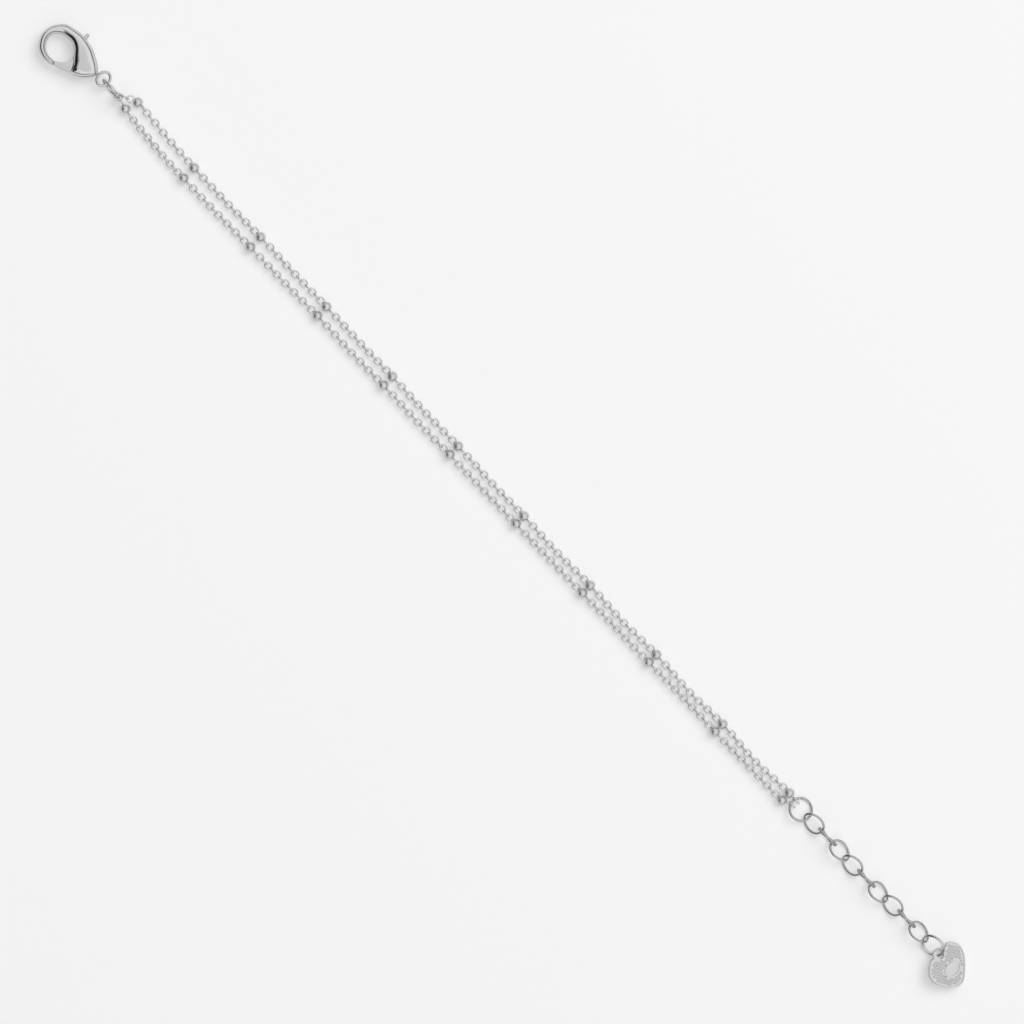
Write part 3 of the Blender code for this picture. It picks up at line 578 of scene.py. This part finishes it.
def build_lever(dresser):
    """The gate, its hub and its thumb nub in one plate with rounded edges."""
    pivot = pivot_point()
    outline = []
    for share_x, share_y, rounded in LEVER_OUTLINE:
        point = clasp_point(share_x, share_y) - pivot
        outline.append((point.x, point.y, rounded))
    plate = helper_object(flat_curve("clasp_lever", [outline], LEVER_THICKNESS, LEVER_EDGE))
    body = helper_object(evaluated_mesh(plate, "clasp_lever"))
    hole = helper_object(pin_mesh(RIVET_RADIUS + RIVET_CLEARANCE, 2 * LEVER_THICKNESS))
    boolean(body, hole, "DIFFERENCE")
    mesh = evaluated_mesh(body, "clasp_lever", (hole,))
    shade(mesh, EDGE_DEGREES)
    dresser.add("clasp_gate", mesh, dresser.polished, "polished_silver", ["clasp_lever"],
                Matrix.Translation(pivot), "lever")


def split_ring(name, outer, wire):
    """A round ring in its own XY plane, open by its slit at local +Y."""
    radius = (outer - wire) / 2
    half_slit = RING_SLIT / 2 / radius
    points = []
    for index in range(LOOP_STEPS + 1):
        angle = math.pi / 2 + half_slit + (math.tau - 2 * half_slit) * index / LOOP_STEPS
        points.append(Vector((radius * math.cos(angle), radius * math.sin(angle), 0)))
    return wire_curve(name, points, wire, False)


def jump_ring_place():
    """The jump ring stands in the eye, with its wire against the eye's far end."""
    radius = (JUMP_RING_OUTER - JUMP_RING_WIRE) / 2
    centre_z = radius * math.cos(JUMP_RING_LEAN) + JUMP_RING_WIRE / 2
    drop = (centre_z - CLASP_THICKNESS / 2) / math.cos(JUMP_RING_LEAN)
    eye_far = eye_centre() + Vector(((EYE_LENGTH - EYE_WIRE) / 2, 0, 0))
    wire_x = eye_far.x - (EYE_WIRE + JUMP_RING_WIRE) / 2 - 2 * PIECE_GAP
    centre = Vector((wire_x + math.sqrt(radius ** 2 - drop ** 2),
                     eye_far.y + JUMP_RING_OFFSET_Y, centre_z))
    turn = (Matrix.Rotation(JUMP_RING_YAW, 4, "Z")
            @ Matrix.Rotation(math.pi / 2 - JUMP_RING_LEAN, 4, "X")
            @ Matrix.Rotation(JUMP_RING_SLIT_TURN, 4, "Z"))
    return Matrix.Translation(centre) @ turn


def jump_ring_wire(height):
    """The point of the jump ring's far wire at a height above the table."""
    radius = (JUMP_RING_OUTER - JUMP_RING_WIRE) / 2
    place = jump_ring_place()
    centre = place.translation
    rise = height - centre.z
    up = rise / math.cos(JUMP_RING_LEAN)
    along = math.sqrt(radius ** 2 - up ** 2)
    return centre + Matrix.Rotation(JUMP_RING_YAW, 3, "Z") @ Vector(
        (along, up * math.sin(JUMP_RING_LEAN), rise))


def first_link(strand):
    """The centre and the heading of a strand's first link, which grips the jump ring."""
    _, _, height, heading, slope, _ = STRANDS[strand]
    heading, slope = math.radians(heading), math.radians(slope)
    along = Vector((math.cos(heading) * math.cos(slope), math.sin(heading) * math.cos(slope),
                    math.sin(slope)))
    seat = (END_LINK_LENGTH - 2 * END_LINK_WIRE - JUMP_RING_WIRE) / 2 - END_LINK_PLAY
    return jump_ring_wire(height) + along * seat, along


def strand_start(strand):
    centre, along = first_link(strand)
    return centre + along * (END_LINK_LENGTH / 2 + PIECE_GAP)


def station_x(strand, station):
    """X of a station: 1 is the strand's first bead, 2 its second, and so on."""
    ring_x = jump_ring_wire(jump_ring_place().translation.z).x
    first = ring_x + STRANDS[strand][1]
    second = ring_x + SECOND_BEAD_REACH
    if station <= 2:
        return first + (second - first) * (station - 1)
    return second + BEAD_PITCH * (station - 2)


def strand_knots(strand):
    start = strand_start(strand)
    knots = [(start.x, start.y)]
    for station, side in STRANDS[strand][0]:
        knots.append((station_x(strand, station), side * MM))
    return knots


def strand_point(strand, knots, x):
    """The strand's centre line at x: sideways from its route, and up at each bead."""
    start = strand_start(strand)
    last = len(knots) - 1
    index = 0
    while index < last - 1 and knots[index + 1][0] < x:
        index += 1
    share = (x - knots[index][0]) / (knots[index + 1][0] - knots[index][0])
    before = knots[max(index - 1, 0)]
    after = knots[min(index + 2, last)]
    side = catmull_rom(before, knots[index], knots[index + 1], after, share)[1]
    first_bead = station_x(strand, 1)
    if x < first_bead:
        drop = (x - start.x) / (first_bead - start.x)
        return Vector((x, side, start.z + (BEAD_DIAMETER / 2 - start.z) * drop))
    beads = [station_x(strand, number) for number in range(1, BEADS_PER_STRAND + 1)]
    nearest = min(abs(x - bead) for bead in beads)
    lift = (BEAD_DIAMETER - CHAIN_WIDTH) / 2 * max(0.0, 1 - nearest / CHAIN_RAMP) ** 2
    return Vector((x, side, CHAIN_WIDTH / 2 + lift))


def last_link_x():
    """The strands' last links stand just past the last beads."""
    return (station_x("upper", BEADS_PER_STRAND) + BEAD_DIAMETER / 2 + PIECE_GAP
            + END_LINK_LENGTH / 2)


def extender_ring_place():
    """The extender's ring lies nearly flat, through both strands' last links."""
    radius = (EXTENDER_RING_OUTER - EXTENDER_RING_WIRE) / 2
    spread = (STRANDS["upper"][5] - STRANDS["lower"][5]) / 2
    middle_y = (STRANDS["upper"][5] + STRANDS["lower"][5]) / 2
    wire_x = (last_link_x() - END_LINK_LENGTH / 2 + END_LINK_WIRE + PIECE_GAP
              + EXTENDER_RING_WIRE / 2)
    centre_z = radius * math.sin(abs(EXTENDER_RING_ROLL)) + EXTENDER_RING_WIRE / 2
    centre = Vector((wire_x + math.sqrt(radius ** 2 - spread ** 2), middle_y, centre_z))
    return (Matrix.Translation(centre) @ Matrix.Rotation(EXTENDER_RING_ROLL, 4, "X")
            @ Matrix.Rotation(EXTENDER_RING_SLIT_TURN, 4, "Z"))


def last_link_centre(strand):
    """A last link stands on the table, unless the ring through its middle holds it higher."""
    side = STRANDS[strand][5]
    ring = extender_ring_place().translation
    held = ring.z + (side - ring.y) * math.tan(EXTENDER_RING_ROLL)
    return Vector((last_link_x(), side, max(END_LINK_WIDTH / 2, held)))


class Route:
    """A strand's centre line, measured along its length."""

    def __init__(self, strand):
        knots = strand_knots(strand)
        points = [first_link(strand)[0]]
        x = knots[0][0]
        last_bead = station_x(strand, BEADS_PER_STRAND)
        while x < last_bead + BEAD_AXIS_REACH:
            points.append(strand_point(strand, knots, x))
            x += ROUTE_STEP
        points.append(last_link_centre(strand))
        self.points = points
        self.lengths = [0.0]
        for before, after in zip(points, points[1:]):
            self.lengths.append(self.lengths[-1] + (after - before).length)

    def at(self, length):
        """The point and the direction at a length along the route."""
        low, high = 0, len(self.lengths) - 2
        while low < high:
            index = (low + high + 1) // 2
            if self.lengths[index] <= length:
                low = index
            else:
                high = index - 1
        start, end = self.points[low], self.points[low + 1]
        run = self.lengths[low + 1] - self.lengths[low]
        share = (length - self.lengths[low]) / run
        return start.lerp(end, share), (end - start).normalized()

    def length_at_x(self, x):
        for index, point in enumerate(self.points):
            if point.x >= x:
                return self.lengths[index]
        return self.lengths[-1]


def link_ring(length, width, wire):
    """One oval link's points and faces, lying in its own XY plane."""
    half_length, half_width = (length - wire) / 2, (width - wire) / 2
    points, faces = [], []
    for step in range(FINE_LINK_STEPS):
        angle = math.tau * step / FINE_LINK_STEPS
        centre = Vector((half_length * math.cos(angle), half_width * math.sin(angle), 0))
        out = Vector((math.cos(angle) / half_length, math.sin(angle) / half_width, 0))
        out.normalize()
        for side in range(FINE_LINK_SIDES):
            turn = math.tau * side / FINE_LINK_SIDES
            points.append(centre + (out * math.cos(turn) + Vector((0, 0, math.sin(turn))))
                          * wire / 2)
    for step in range(FINE_LINK_STEPS):
        following = (step + 1) % FINE_LINK_STEPS
        for side in range(FINE_LINK_SIDES):
            after = (side + 1) % FINE_LINK_SIDES
            faces.append((step * FINE_LINK_SIDES + side, following * FINE_LINK_SIDES + side,
                          following * FINE_LINK_SIDES + after, step * FINE_LINK_SIDES + after))
    return points, faces


def link_turn(along, roll):
    """The turn of a link that runs along a direction, rolled from lying flat."""
    aside = Vector((0, 0, 1)).cross(along).normalized()
    up = along.cross(aside)
    turn = Matrix((along, aside, up)).transposed().to_4x4()
    return turn @ Matrix.Rotation(math.radians(roll), 4, "X")


def link_lengths(route, strand):
    """Where the links' centres lie along the route, with the gaps that beads fill."""
    beads = [route.length_at_x(station_x(strand, number))
             for number in range(1, BEADS_PER_STRAND + 1)]
    first_end = beads[0] - LINK_BEFORE_BEAD
    steps = max(1, round(first_end / FINE_LINK_PITCH))
    lengths = [[first_end * step / steps for step in range(steps + 1)]]
    for before, after in zip(beads, beads[1:]):
        start, end = before + LINK_AFTER_BEAD, after - LINK_BEFORE_BEAD
        steps = 2 * round(((end - start) / FINE_LINK_PITCH + 1) / 2) - 1
        lengths.append([start + (end - start) * step / steps for step in range(steps + 1)])
    lengths.append([route.lengths[-1]])
    return lengths


def chain_mesh(strand):
    """Every link of a strand, each through the next, and a slim one through each bead."""
    rng = random.Random(CHAIN_SEED)
    route = Route(strand)
    link = link_ring(FINE_LINK_LENGTH, FINE_LINK_WIDTH, FINE_LINK_WIRE)
    points, faces = [], []

    def place(shape, centre, along, roll):
        matrix = Matrix.Translation(centre) @ link_turn(along, roll)
        first = len(points)
        points.extend(matrix @ point for point in shape[0])
        faces.extend(tuple(first + corner for corner in face) for face in shape[1])

    runs = link_lengths(route, strand)
    reach = (FINE_LINK_LENGTH - FINE_LINK_WIRE) / 2
    hook = (FINE_LINK_WIRE + CONNECTOR_WIRE) / 2 + CONNECTOR_PLAY
    for index, run in enumerate(runs):
        for step, length in enumerate(run):
            centre, along = route.at(length)
            flat = step % 2 == (0 if index == 0 else 1)
            roll = (0 if flat else 90) + rng.uniform(-LINK_ROLL_SPREAD, LINK_ROLL_SPREAD)
            if index == 0 and step == 0:
                centre, along = first_link(strand)
                roll = 0
            elif index == len(runs) - 1:
                along, roll = Vector((1, 0, 0)), 90
            place(link, centre, along, roll)
        if index < len(runs) - 1:
            near = run[-1] + reach - hook
            far = runs[index + 1][0] - reach + hook
            start, end = route.at(near)[0], route.at(far)[0]
            length = (end - start).length + CONNECTOR_WIRE
            slim = link_ring(length, CONNECTOR_WIDTH, CONNECTOR_WIRE)
            place(slim, (start + end) / 2, (end - start).normalized(), CONNECTOR_ROLL)
    mesh = bpy.data.meshes.new("chain_" + strand)
    mesh.from_pydata([tuple(point) for point in points], [], faces)
    mesh.shade_smooth()
    return mesh


def bead_mesh():
    """A drilled ball whose hole has a rounded lip."""
    radius = BEAD_DIAMETER / 2
    hole = BEAD_HOLE / 2
    mouth = math.asin((hole + BEAD_LIP) / radius)
    profile = []
    for row in range(BEAD_ROWS + 1):
        angle = mouth + (math.pi - 2 * mouth) * row / BEAD_ROWS
        profile.append((radius * math.sin(angle), radius * math.cos(angle)))
    lip = radius * math.cos(mouth)
    corner = BEAD_LIP_ROUND * BEAD_LIP
    profile.append((hole + corner, corner - lip))
    profile.append((hole, BEAD_LIP - lip))
    profile.append((hole, lip - BEAD_LIP))
    profile.append((hole + corner, lip - corner))
    return turned(profile, BEAD_SIDES, True)


def bead_place(strand, knots, number):
    x = station_x(strand, number)
    before = strand_point(strand, knots, x - BEAD_AXIS_REACH)
    after = strand_point(strand, knots, x + BEAD_AXIS_REACH)
    middle = (before + after) / 2
    middle.z = BEAD_DIAMETER / 2
    turn = (after - before).to_track_quat("Z", "Y").to_matrix().to_4x4()
    return Matrix.Translation(middle) @ turn


def build_strands(dresser):
    ball = bead_mesh()
    for strand in STRANDS:
        nodes = [f"chain_{strand}", f"{strand}_first_link", f"{strand}_last_link"]
        dresser.add(f"links_{strand}", chain_mesh(strand), dresser.chain, "chain_silver", nodes)
        knots = strand_knots(strand)
        for number in range(1, BEADS_PER_STRAND + 1):
            dresser.add(f"ball_{strand}_{number:02d}", ball, dresser.bead,
                        "polished_silver", [f"bead_{strand}_{number:02d}"],
                        bead_place(strand, knots, number))


def link_x(number):
    """X of an extender link's centre; 0 is the extender ring itself."""
    ring_half = (EXTENDER_RING_OUTER - EXTENDER_RING_WIRE) / 2
    link_half = (LINK_LENGTH - LINK_WIRE) / 2
    ring_x = extender_ring_place().translation.x
    first = ring_x + ring_half + link_half - (EXTENDER_RING_WIRE + LINK_WIRE) / 2 - LINK_PLAY
    return first + (number - 1) * (2 * link_half - LINK_WIRE - LINK_PLAY)


def build_extender(dresser):
    """Oval links, each twisted a little, so that neighbours cross squarely."""
    half_length = (LINK_LENGTH - LINK_WIRE) / 2
    half_width = (LINK_WIDTH - LINK_WIRE) / 2
    for number, (side, turn_degrees, pitch_degrees) in enumerate(EXTENDER_TABLE, 1):
        points = []
        for point in oval(half_length, half_width, LOOP_STEPS):
            turn = math.radians(turn_degrees) + LINK_TWIST / 2 * point.x / half_length
            points.append(Vector((point.x, point.y * math.cos(turn), point.y * math.sin(turn))))
        pitch = Matrix.Rotation(math.radians(pitch_degrees), 4, "Y")
        points = [pitch @ point for point in points]
        lowest = min(point.z for point in points)
        place = Vector((link_x(number), side * MM, LINK_WIRE / 2 - lowest))
        curve = wire_curve("twisted_link", points, LINK_WIRE, True)
        dresser.add(f"twisted_link_{number}", curve, dresser.wire, "polished_silver",
                    [f"extender_link_{number}"], Matrix.Translation(place))


def tag_ring_place():
    radius = (TAG_RING_OUTER - TAG_RING_WIRE) / 2
    link_half = (LINK_LENGTH - LINK_WIRE) / 2
    x = (link_x(len(EXTENDER_TABLE)) + link_half + radius - (LINK_WIRE + TAG_RING_WIRE) / 2
         - LINK_PLAY)
    centre_z = radius * math.sin(TAG_RING_ROLL) + TAG_RING_WIRE / 2
    return (Matrix.Translation((x, TAG_RING_Y, centre_z))
            @ Matrix.Rotation(TAG_RING_ROLL, 4, "X")
            @ Matrix.Rotation(TAG_RING_SLIT_TURN, 4, "Z"))


def build_rings(dresser):
    bright, dull = dresser.polished, dresser.wire
    rings = (
        ("jump_ring", JUMP_RING_OUTER, JUMP_RING_WIRE, bright, jump_ring_place()),
        ("extender_ring", EXTENDER_RING_OUTER, EXTENDER_RING_WIRE, dull, extender_ring_place()),
        ("tag_ring", TAG_RING_OUTER, TAG_RING_WIRE, bright, tag_ring_place()),
    )
    for name, outer, wire, material, place in rings:
        dresser.add(f"{name}_wire", split_ring(name, outer, wire), material,
                    "polished_silver", [name], place)


def heart_place():
    """The tag leans on its upper lobe, with its hole round the tag ring's low far side."""
    turn = Matrix.Rotation(HEART_ROLL, 4, "X") @ Matrix.Rotation(HEART_PITCH, 4, "Y")
    lowest = 0.0
    for share_x, share_y, _ in HEART_OUTLINE:
        corner = Vector((share_x * HEART_LENGTH, share_y * HEART_WIDTH, -HEART_THICKNESS / 2))
        lowest = min(lowest, (turn @ corner).z)
    radius = (TAG_RING_OUTER - TAG_RING_WIRE) / 2
    ring = tag_ring_place().translation
    in_plane = (-lowest - ring.z) / math.sin(TAG_RING_ROLL)
    hole = Vector((ring.x + math.sqrt(radius ** 2 - in_plane ** 2),
                   ring.y + in_plane * math.cos(TAG_RING_ROLL), -lowest))
    return Matrix.Translation(hole) @ turn


def recess_outline():
    """The dotted field's edge: the heart's edge moved in by the rim, clear of the hole."""
    rows = [Vector((x * HEART_LENGTH, y * HEART_WIDTH)) for x, y, _ in HEART_OUTLINE]
    points = []
    for index in range(LOBE_ROWS):
        run = (rows[index + 1] - rows[index - 1]).normalized()
        points.append(rows[index] + Vector((run.y, -run.x)) * HEART_RIM)
    for degrees in HOLE_RIM_DEGREES:
        angle = math.radians(degrees)
        points.append(Vector((math.cos(angle), math.sin(angle)))
                      * (HEART_HOLE_RADIUS + HEART_RIM))
    return points


def distance_inside(point, outline):
    """How far a point lies inside the outline; negative outside it."""
    inside = False
    nearest = math.inf
    for start, end in zip(outline, outline[1:] + outline[:1]):
        edge = end - start
        share = max(0.0, min(1.0, (point - start).dot(edge) / edge.length_squared))
        nearest = min(nearest, (point - start - edge * share).length)
        if (start.y > point.y) != (end.y > point.y):
            crossing = start.x + edge.x * (point.y - start.y) / edge.y
            if crossing > point.x:
                inside = not inside
    return nearest if inside else -nearest


def plaque_outline(inset):
    """The bare oval's edge, or a smaller oval inside it."""
    centre_x, centre_y = PLAQUE_CENTRE[0] * HEART_LENGTH, PLAQUE_CENTRE[1] * HEART_WIDTH
    loop = oval(PLAQUE_LENGTH / 2 - inset, PLAQUE_WIDTH / 2 - inset, PLAQUE_STEPS)
    return [Vector((centre_x + point.x, centre_y + point.y)) for point in loop]


def add_dots(mesh, recess):
    """Raised round dots in staggered rows, clear of the rim and of the oval."""
    clearance = DOT_RADIUS + DOT_GAP
    row_pitch = DOT_PITCH * math.sqrt(3) / 2
    plaque = plaque_outline(0.0)
    base = HEART_THICKNESS / 2 - RELIEF_HEIGHT
    bm = bmesh.new()
    bm.from_mesh(mesh)
    columns = math.ceil(HEART_LENGTH / row_pitch)
    rows = math.ceil(HEART_WIDTH / 2 / DOT_PITCH)
    for column in range(columns):
        for row in range(-rows, rows + 1):
            place = Vector((column * row_pitch, (row + column % 2 / 2) * DOT_PITCH))
            if distance_inside(place, recess) < clearance:
                continue
            if distance_inside(place, plaque) > -clearance:
                continue
            flat = Matrix.Diagonal((1, 1, RELIEF_HEIGHT / DOT_RADIUS, 1))
            bmesh.ops.create_uvsphere(
                bm, u_segments=DOT_SEGMENTS, v_segments=DOT_RINGS, radius=DOT_RADIUS,
                matrix=Matrix.Translation((place.x, place.y, base)) @ flat)
    bm.to_mesh(mesh)
    bm.free()


def build_heart(dresser):
    """The tag: a plate with a raised rim, a bare oval with a raised edge, and raised dots."""
    outline = [(x * HEART_LENGTH, y * HEART_WIDTH, rounded) for x, y, rounded in HEART_OUTLINE]
    plate = helper_object(flat_curve("heart", [outline], HEART_THICKNESS, HEART_EDGE))
    body = helper_object(evaluated_mesh(plate, "heart"))
    hole = helper_object(pin_mesh(HEART_HOLE_RADIUS, 4 * HEART_THICKNESS))
    boolean(body, hole, "DIFFERENCE")
    recess = recess_outline()
    top = Matrix.Translation((0, 0, HEART_THICKNESS / 2))
    fields = (
        ([[(p.x, p.y, True) for p in recess],
          [(p.x, p.y, True) for p in plaque_outline(0.0)]], 2 * RELIEF_HEIGHT),
        ([[(p.x, p.y, True) for p in plaque_outline(PLAQUE_BORDER)]], 2 * RELIEF_HEIGHT),
    )
    cutters = [hole]
    for outlines, depth in fields:
        plate = helper_object(flat_curve("field", outlines, depth, resolution=FIELD_STEPS))
        cutter = helper_object(evaluated_mesh(plate, "field"), top)
        boolean(body, cutter, "DIFFERENCE")
        cutters.append(cutter)
    mesh = evaluated_mesh(body, "heart", cutters)
    add_dots(mesh, recess)
    shade(mesh)
    heart = dresser.add("heart_charm", mesh, dresser.satin, "tag_silver", ["heart_tag"],
                        heart_place())
    soften(heart, HEART_CUT_EDGE)


def node(tree, kind, place, **inputs):
    made = tree.nodes.new(kind)
    made.location = place
    for name, value in inputs.items():
        made.inputs[name.replace("_", " ")].default_value = value
    return made


def silver(name, colour, roughness, spread):
    """Polished plate: slightly uneven gloss and faint hairline wear."""
    material = bpy.data.materials.new(name)
    material.use_nodes = True
    tree = material.node_tree
    shader = tree.nodes["Principled BSDF"]
    shader.inputs["Metallic"].default_value = 1.0
    shader.inputs["Specular Tint"].default_value = (*EDGE_TINT, 1)
    place = node(tree, "ShaderNodeTexCoord", (-1100, 0))
    patches = node(tree, "ShaderNodeTexNoise", (-850, 200), Scale=WEAR_SCALE, Detail=3.0)
    gloss = node(tree, "ShaderNodeMapRange", (-600, 200), From_Min=0.35, From_Max=0.65,
                 To_Min=roughness, To_Max=roughness + spread)
    tone = node(tree, "ShaderNodeMix", (-350, 400))
    tone.data_type = "RGBA"
    tone.inputs["A"].default_value = (*colour, 1)
    tone.inputs["B"].default_value = (*(WEAR_TONE * part for part in colour), 1)
    grain = node(tree, "ShaderNodeTexNoise", (-850, -200), Scale=GRAIN_SCALE, Detail=2.0)
    bump = node(tree, "ShaderNodeBump", (-350, -200), Strength=0.12, Distance=0.000004)
    links = tree.links
    links.new(place.outputs["Object"], patches.inputs["Vector"])
    links.new(place.outputs["Object"], grain.inputs["Vector"])
    links.new(patches.outputs["Fac"], gloss.inputs["Value"])
    links.new(gloss.outputs["Result"], shader.inputs["Roughness"])
    links.new(patches.outputs["Fac"], tone.inputs["Factor"])
    links.new(tone.outputs["Result"], shader.inputs["Base Color"])
    links.new(grain.outputs["Fac"], bump.inputs["Height"])
    links.new(bump.outputs["Normal"], shader.inputs["Normal"])
    return material


def satin_silver(name):
    """Cast plate with a satin skin: fine grain and soft tonal patches."""
    material = silver(name, *SATIN)
    for made in material.node_tree.nodes:
        if made.bl_idname == "ShaderNodeBump":
            made.inputs["Strength"].default_value = 0.35
            made.inputs["Distance"].default_value = 0.00001
    return material


def build_world():
    """A white studio: paler above the lens, darker towards the horizon and at image left."""
    world = bpy.data.worlds.new("studio")
    bpy.context.scene.world = world
    world.use_nodes = True
    tree = world.node_tree
    background = tree.nodes["Background"]
    place = node(tree, "ShaderNodeTexCoord", (-1200, 0))
    split = node(tree, "ShaderNodeSeparateXYZ", (-1000, 0))
    height = node(tree, "ShaderNodeValToRGB", (-750, 0))
    ramp = height.color_ramp
    ramp.interpolation = "EASE"
    while len(ramp.elements) < len(SKY_STOPS):
        ramp.elements.new(0.5)
    for element, (position, level) in zip(ramp.elements, SKY_STOPS):
        element.position = position
        element.color = (level, level, level, 1)
    tree.links.new(place.outputs["Generated"], split.inputs["Vector"])
    tree.links.new(split.outputs["Z"], height.inputs["Fac"])
    flag = node(tree, "ShaderNodeVectorMath", (-1000, -300))
    flag.operation = "DOT_PRODUCT"
    flag.inputs[1].default_value = DARK_SIDE
    shade_share = node(tree, "ShaderNodeMapRange", (-750, -300), From_Min=DARK_SIDE_EDGE,
                       From_Max=DARK_SIDE_CORE, To_Min=1.0, To_Max=DARK_SIDE_LEVEL)
    tint = node(tree, "ShaderNodeMix", (-450, 0))
    tint.data_type = "RGBA"
    tint.blend_type = "MULTIPLY"
    tint.inputs["Factor"].default_value = 1.0
    tree.links.new(place.outputs["Generated"], flag.inputs[0])
    tree.links.new(flag.outputs["Value"], shade_share.inputs["Value"])
    tree.links.new(height.outputs["Color"], tint.inputs["A"])
    tree.links.new(shade_share.outputs["Result"], tint.inputs["B"])
    tree.links.new(tint.outputs["Result"], background.inputs["Color"])
    background.inputs["Strength"].default_value = SKY_STRENGTH


def add_key():
    """One wide soft light that reflections don't show."""
    data = bpy.data.lights.new("key", "AREA")
    data.shape = "RECTANGLE"
    data.size = KEY_SIZE
    data.size_y = KEY_SIZE
    data.energy = KEY_WATTS
    key = bpy.data.objects.new("key", data)
    bpy.context.scene.collection.objects.link(key)
    key.location = KEY_PLACE
    key.rotation_euler = (-Vector(KEY_PLACE)).to_track_quat("-Z", "Y").to_euler()
    key.visible_glossy = False


def add_floor():
    """Pale paper that glows a little, so that shadows stay faint."""
    size = FLOOR_HALF_SIZE
    mesh = bpy.data.meshes.new("floor")
    corners = [(-size, -size, 0), (size, -size, 0), (size, size, 0), (-size, size, 0)]
    mesh.from_pydata(corners, [], [(0, 1, 2, 3)])
    floor = bpy.data.objects.new("floor", mesh)
    bpy.context.scene.collection.objects.link(floor)
    floor.location.z = -FLOOR_DROP
    material = bpy.data.materials.new("paper")
    material.use_nodes = True
    shader = material.node_tree.nodes["Principled BSDF"]
    shader.inputs["Base Color"].default_value = (*FLOOR_COLOUR, 1)
    shader.inputs["Emission Color"].default_value = (1.0, 1.0, 1.0, 1)
    shader.inputs["Emission Strength"].default_value = FLOOR_GLOW
    shader.inputs["Roughness"].default_value = 0.9
    shader.inputs["Specular IOR Level"].default_value = 0.1
    mesh.materials.append(material)


def add_camera(shift):
    """The camera straight above the bracelet, turned as the photograph's was."""
    data = bpy.data.cameras.new("camera")
    data.type = "PERSP"
    data.lens = LENS
    data.sensor_width = SENSOR
    data.clip_start = 0.01
    data.clip_end = 10
    camera = bpy.data.objects.new("camera", data)
    bpy.context.scene.collection.objects.link(camera)
    camera.location = (CAMERA_AIM[0] + shift.x, CAMERA_AIM[1] + shift.y,
                       VIEW_WIDTH * LENS / SENSOR)
    camera.rotation_euler = (0, 0, CAMERA_TURN)
    bpy.context.scene.camera = camera
    bpy.context.scene.view_settings.view_transform = "Standard"


def main():
    shift = start_scene()
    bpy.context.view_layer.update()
    dresser = Dresser(shift)
    build_clasp(dresser)
    build_lever(dresser)
    build_rings(dresser)
    build_strands(dresser)
    build_extender(dresser)
    build_heart(dresser)
    add_floor()
    add_key()
    build_world()
    add_camera(shift)


main()
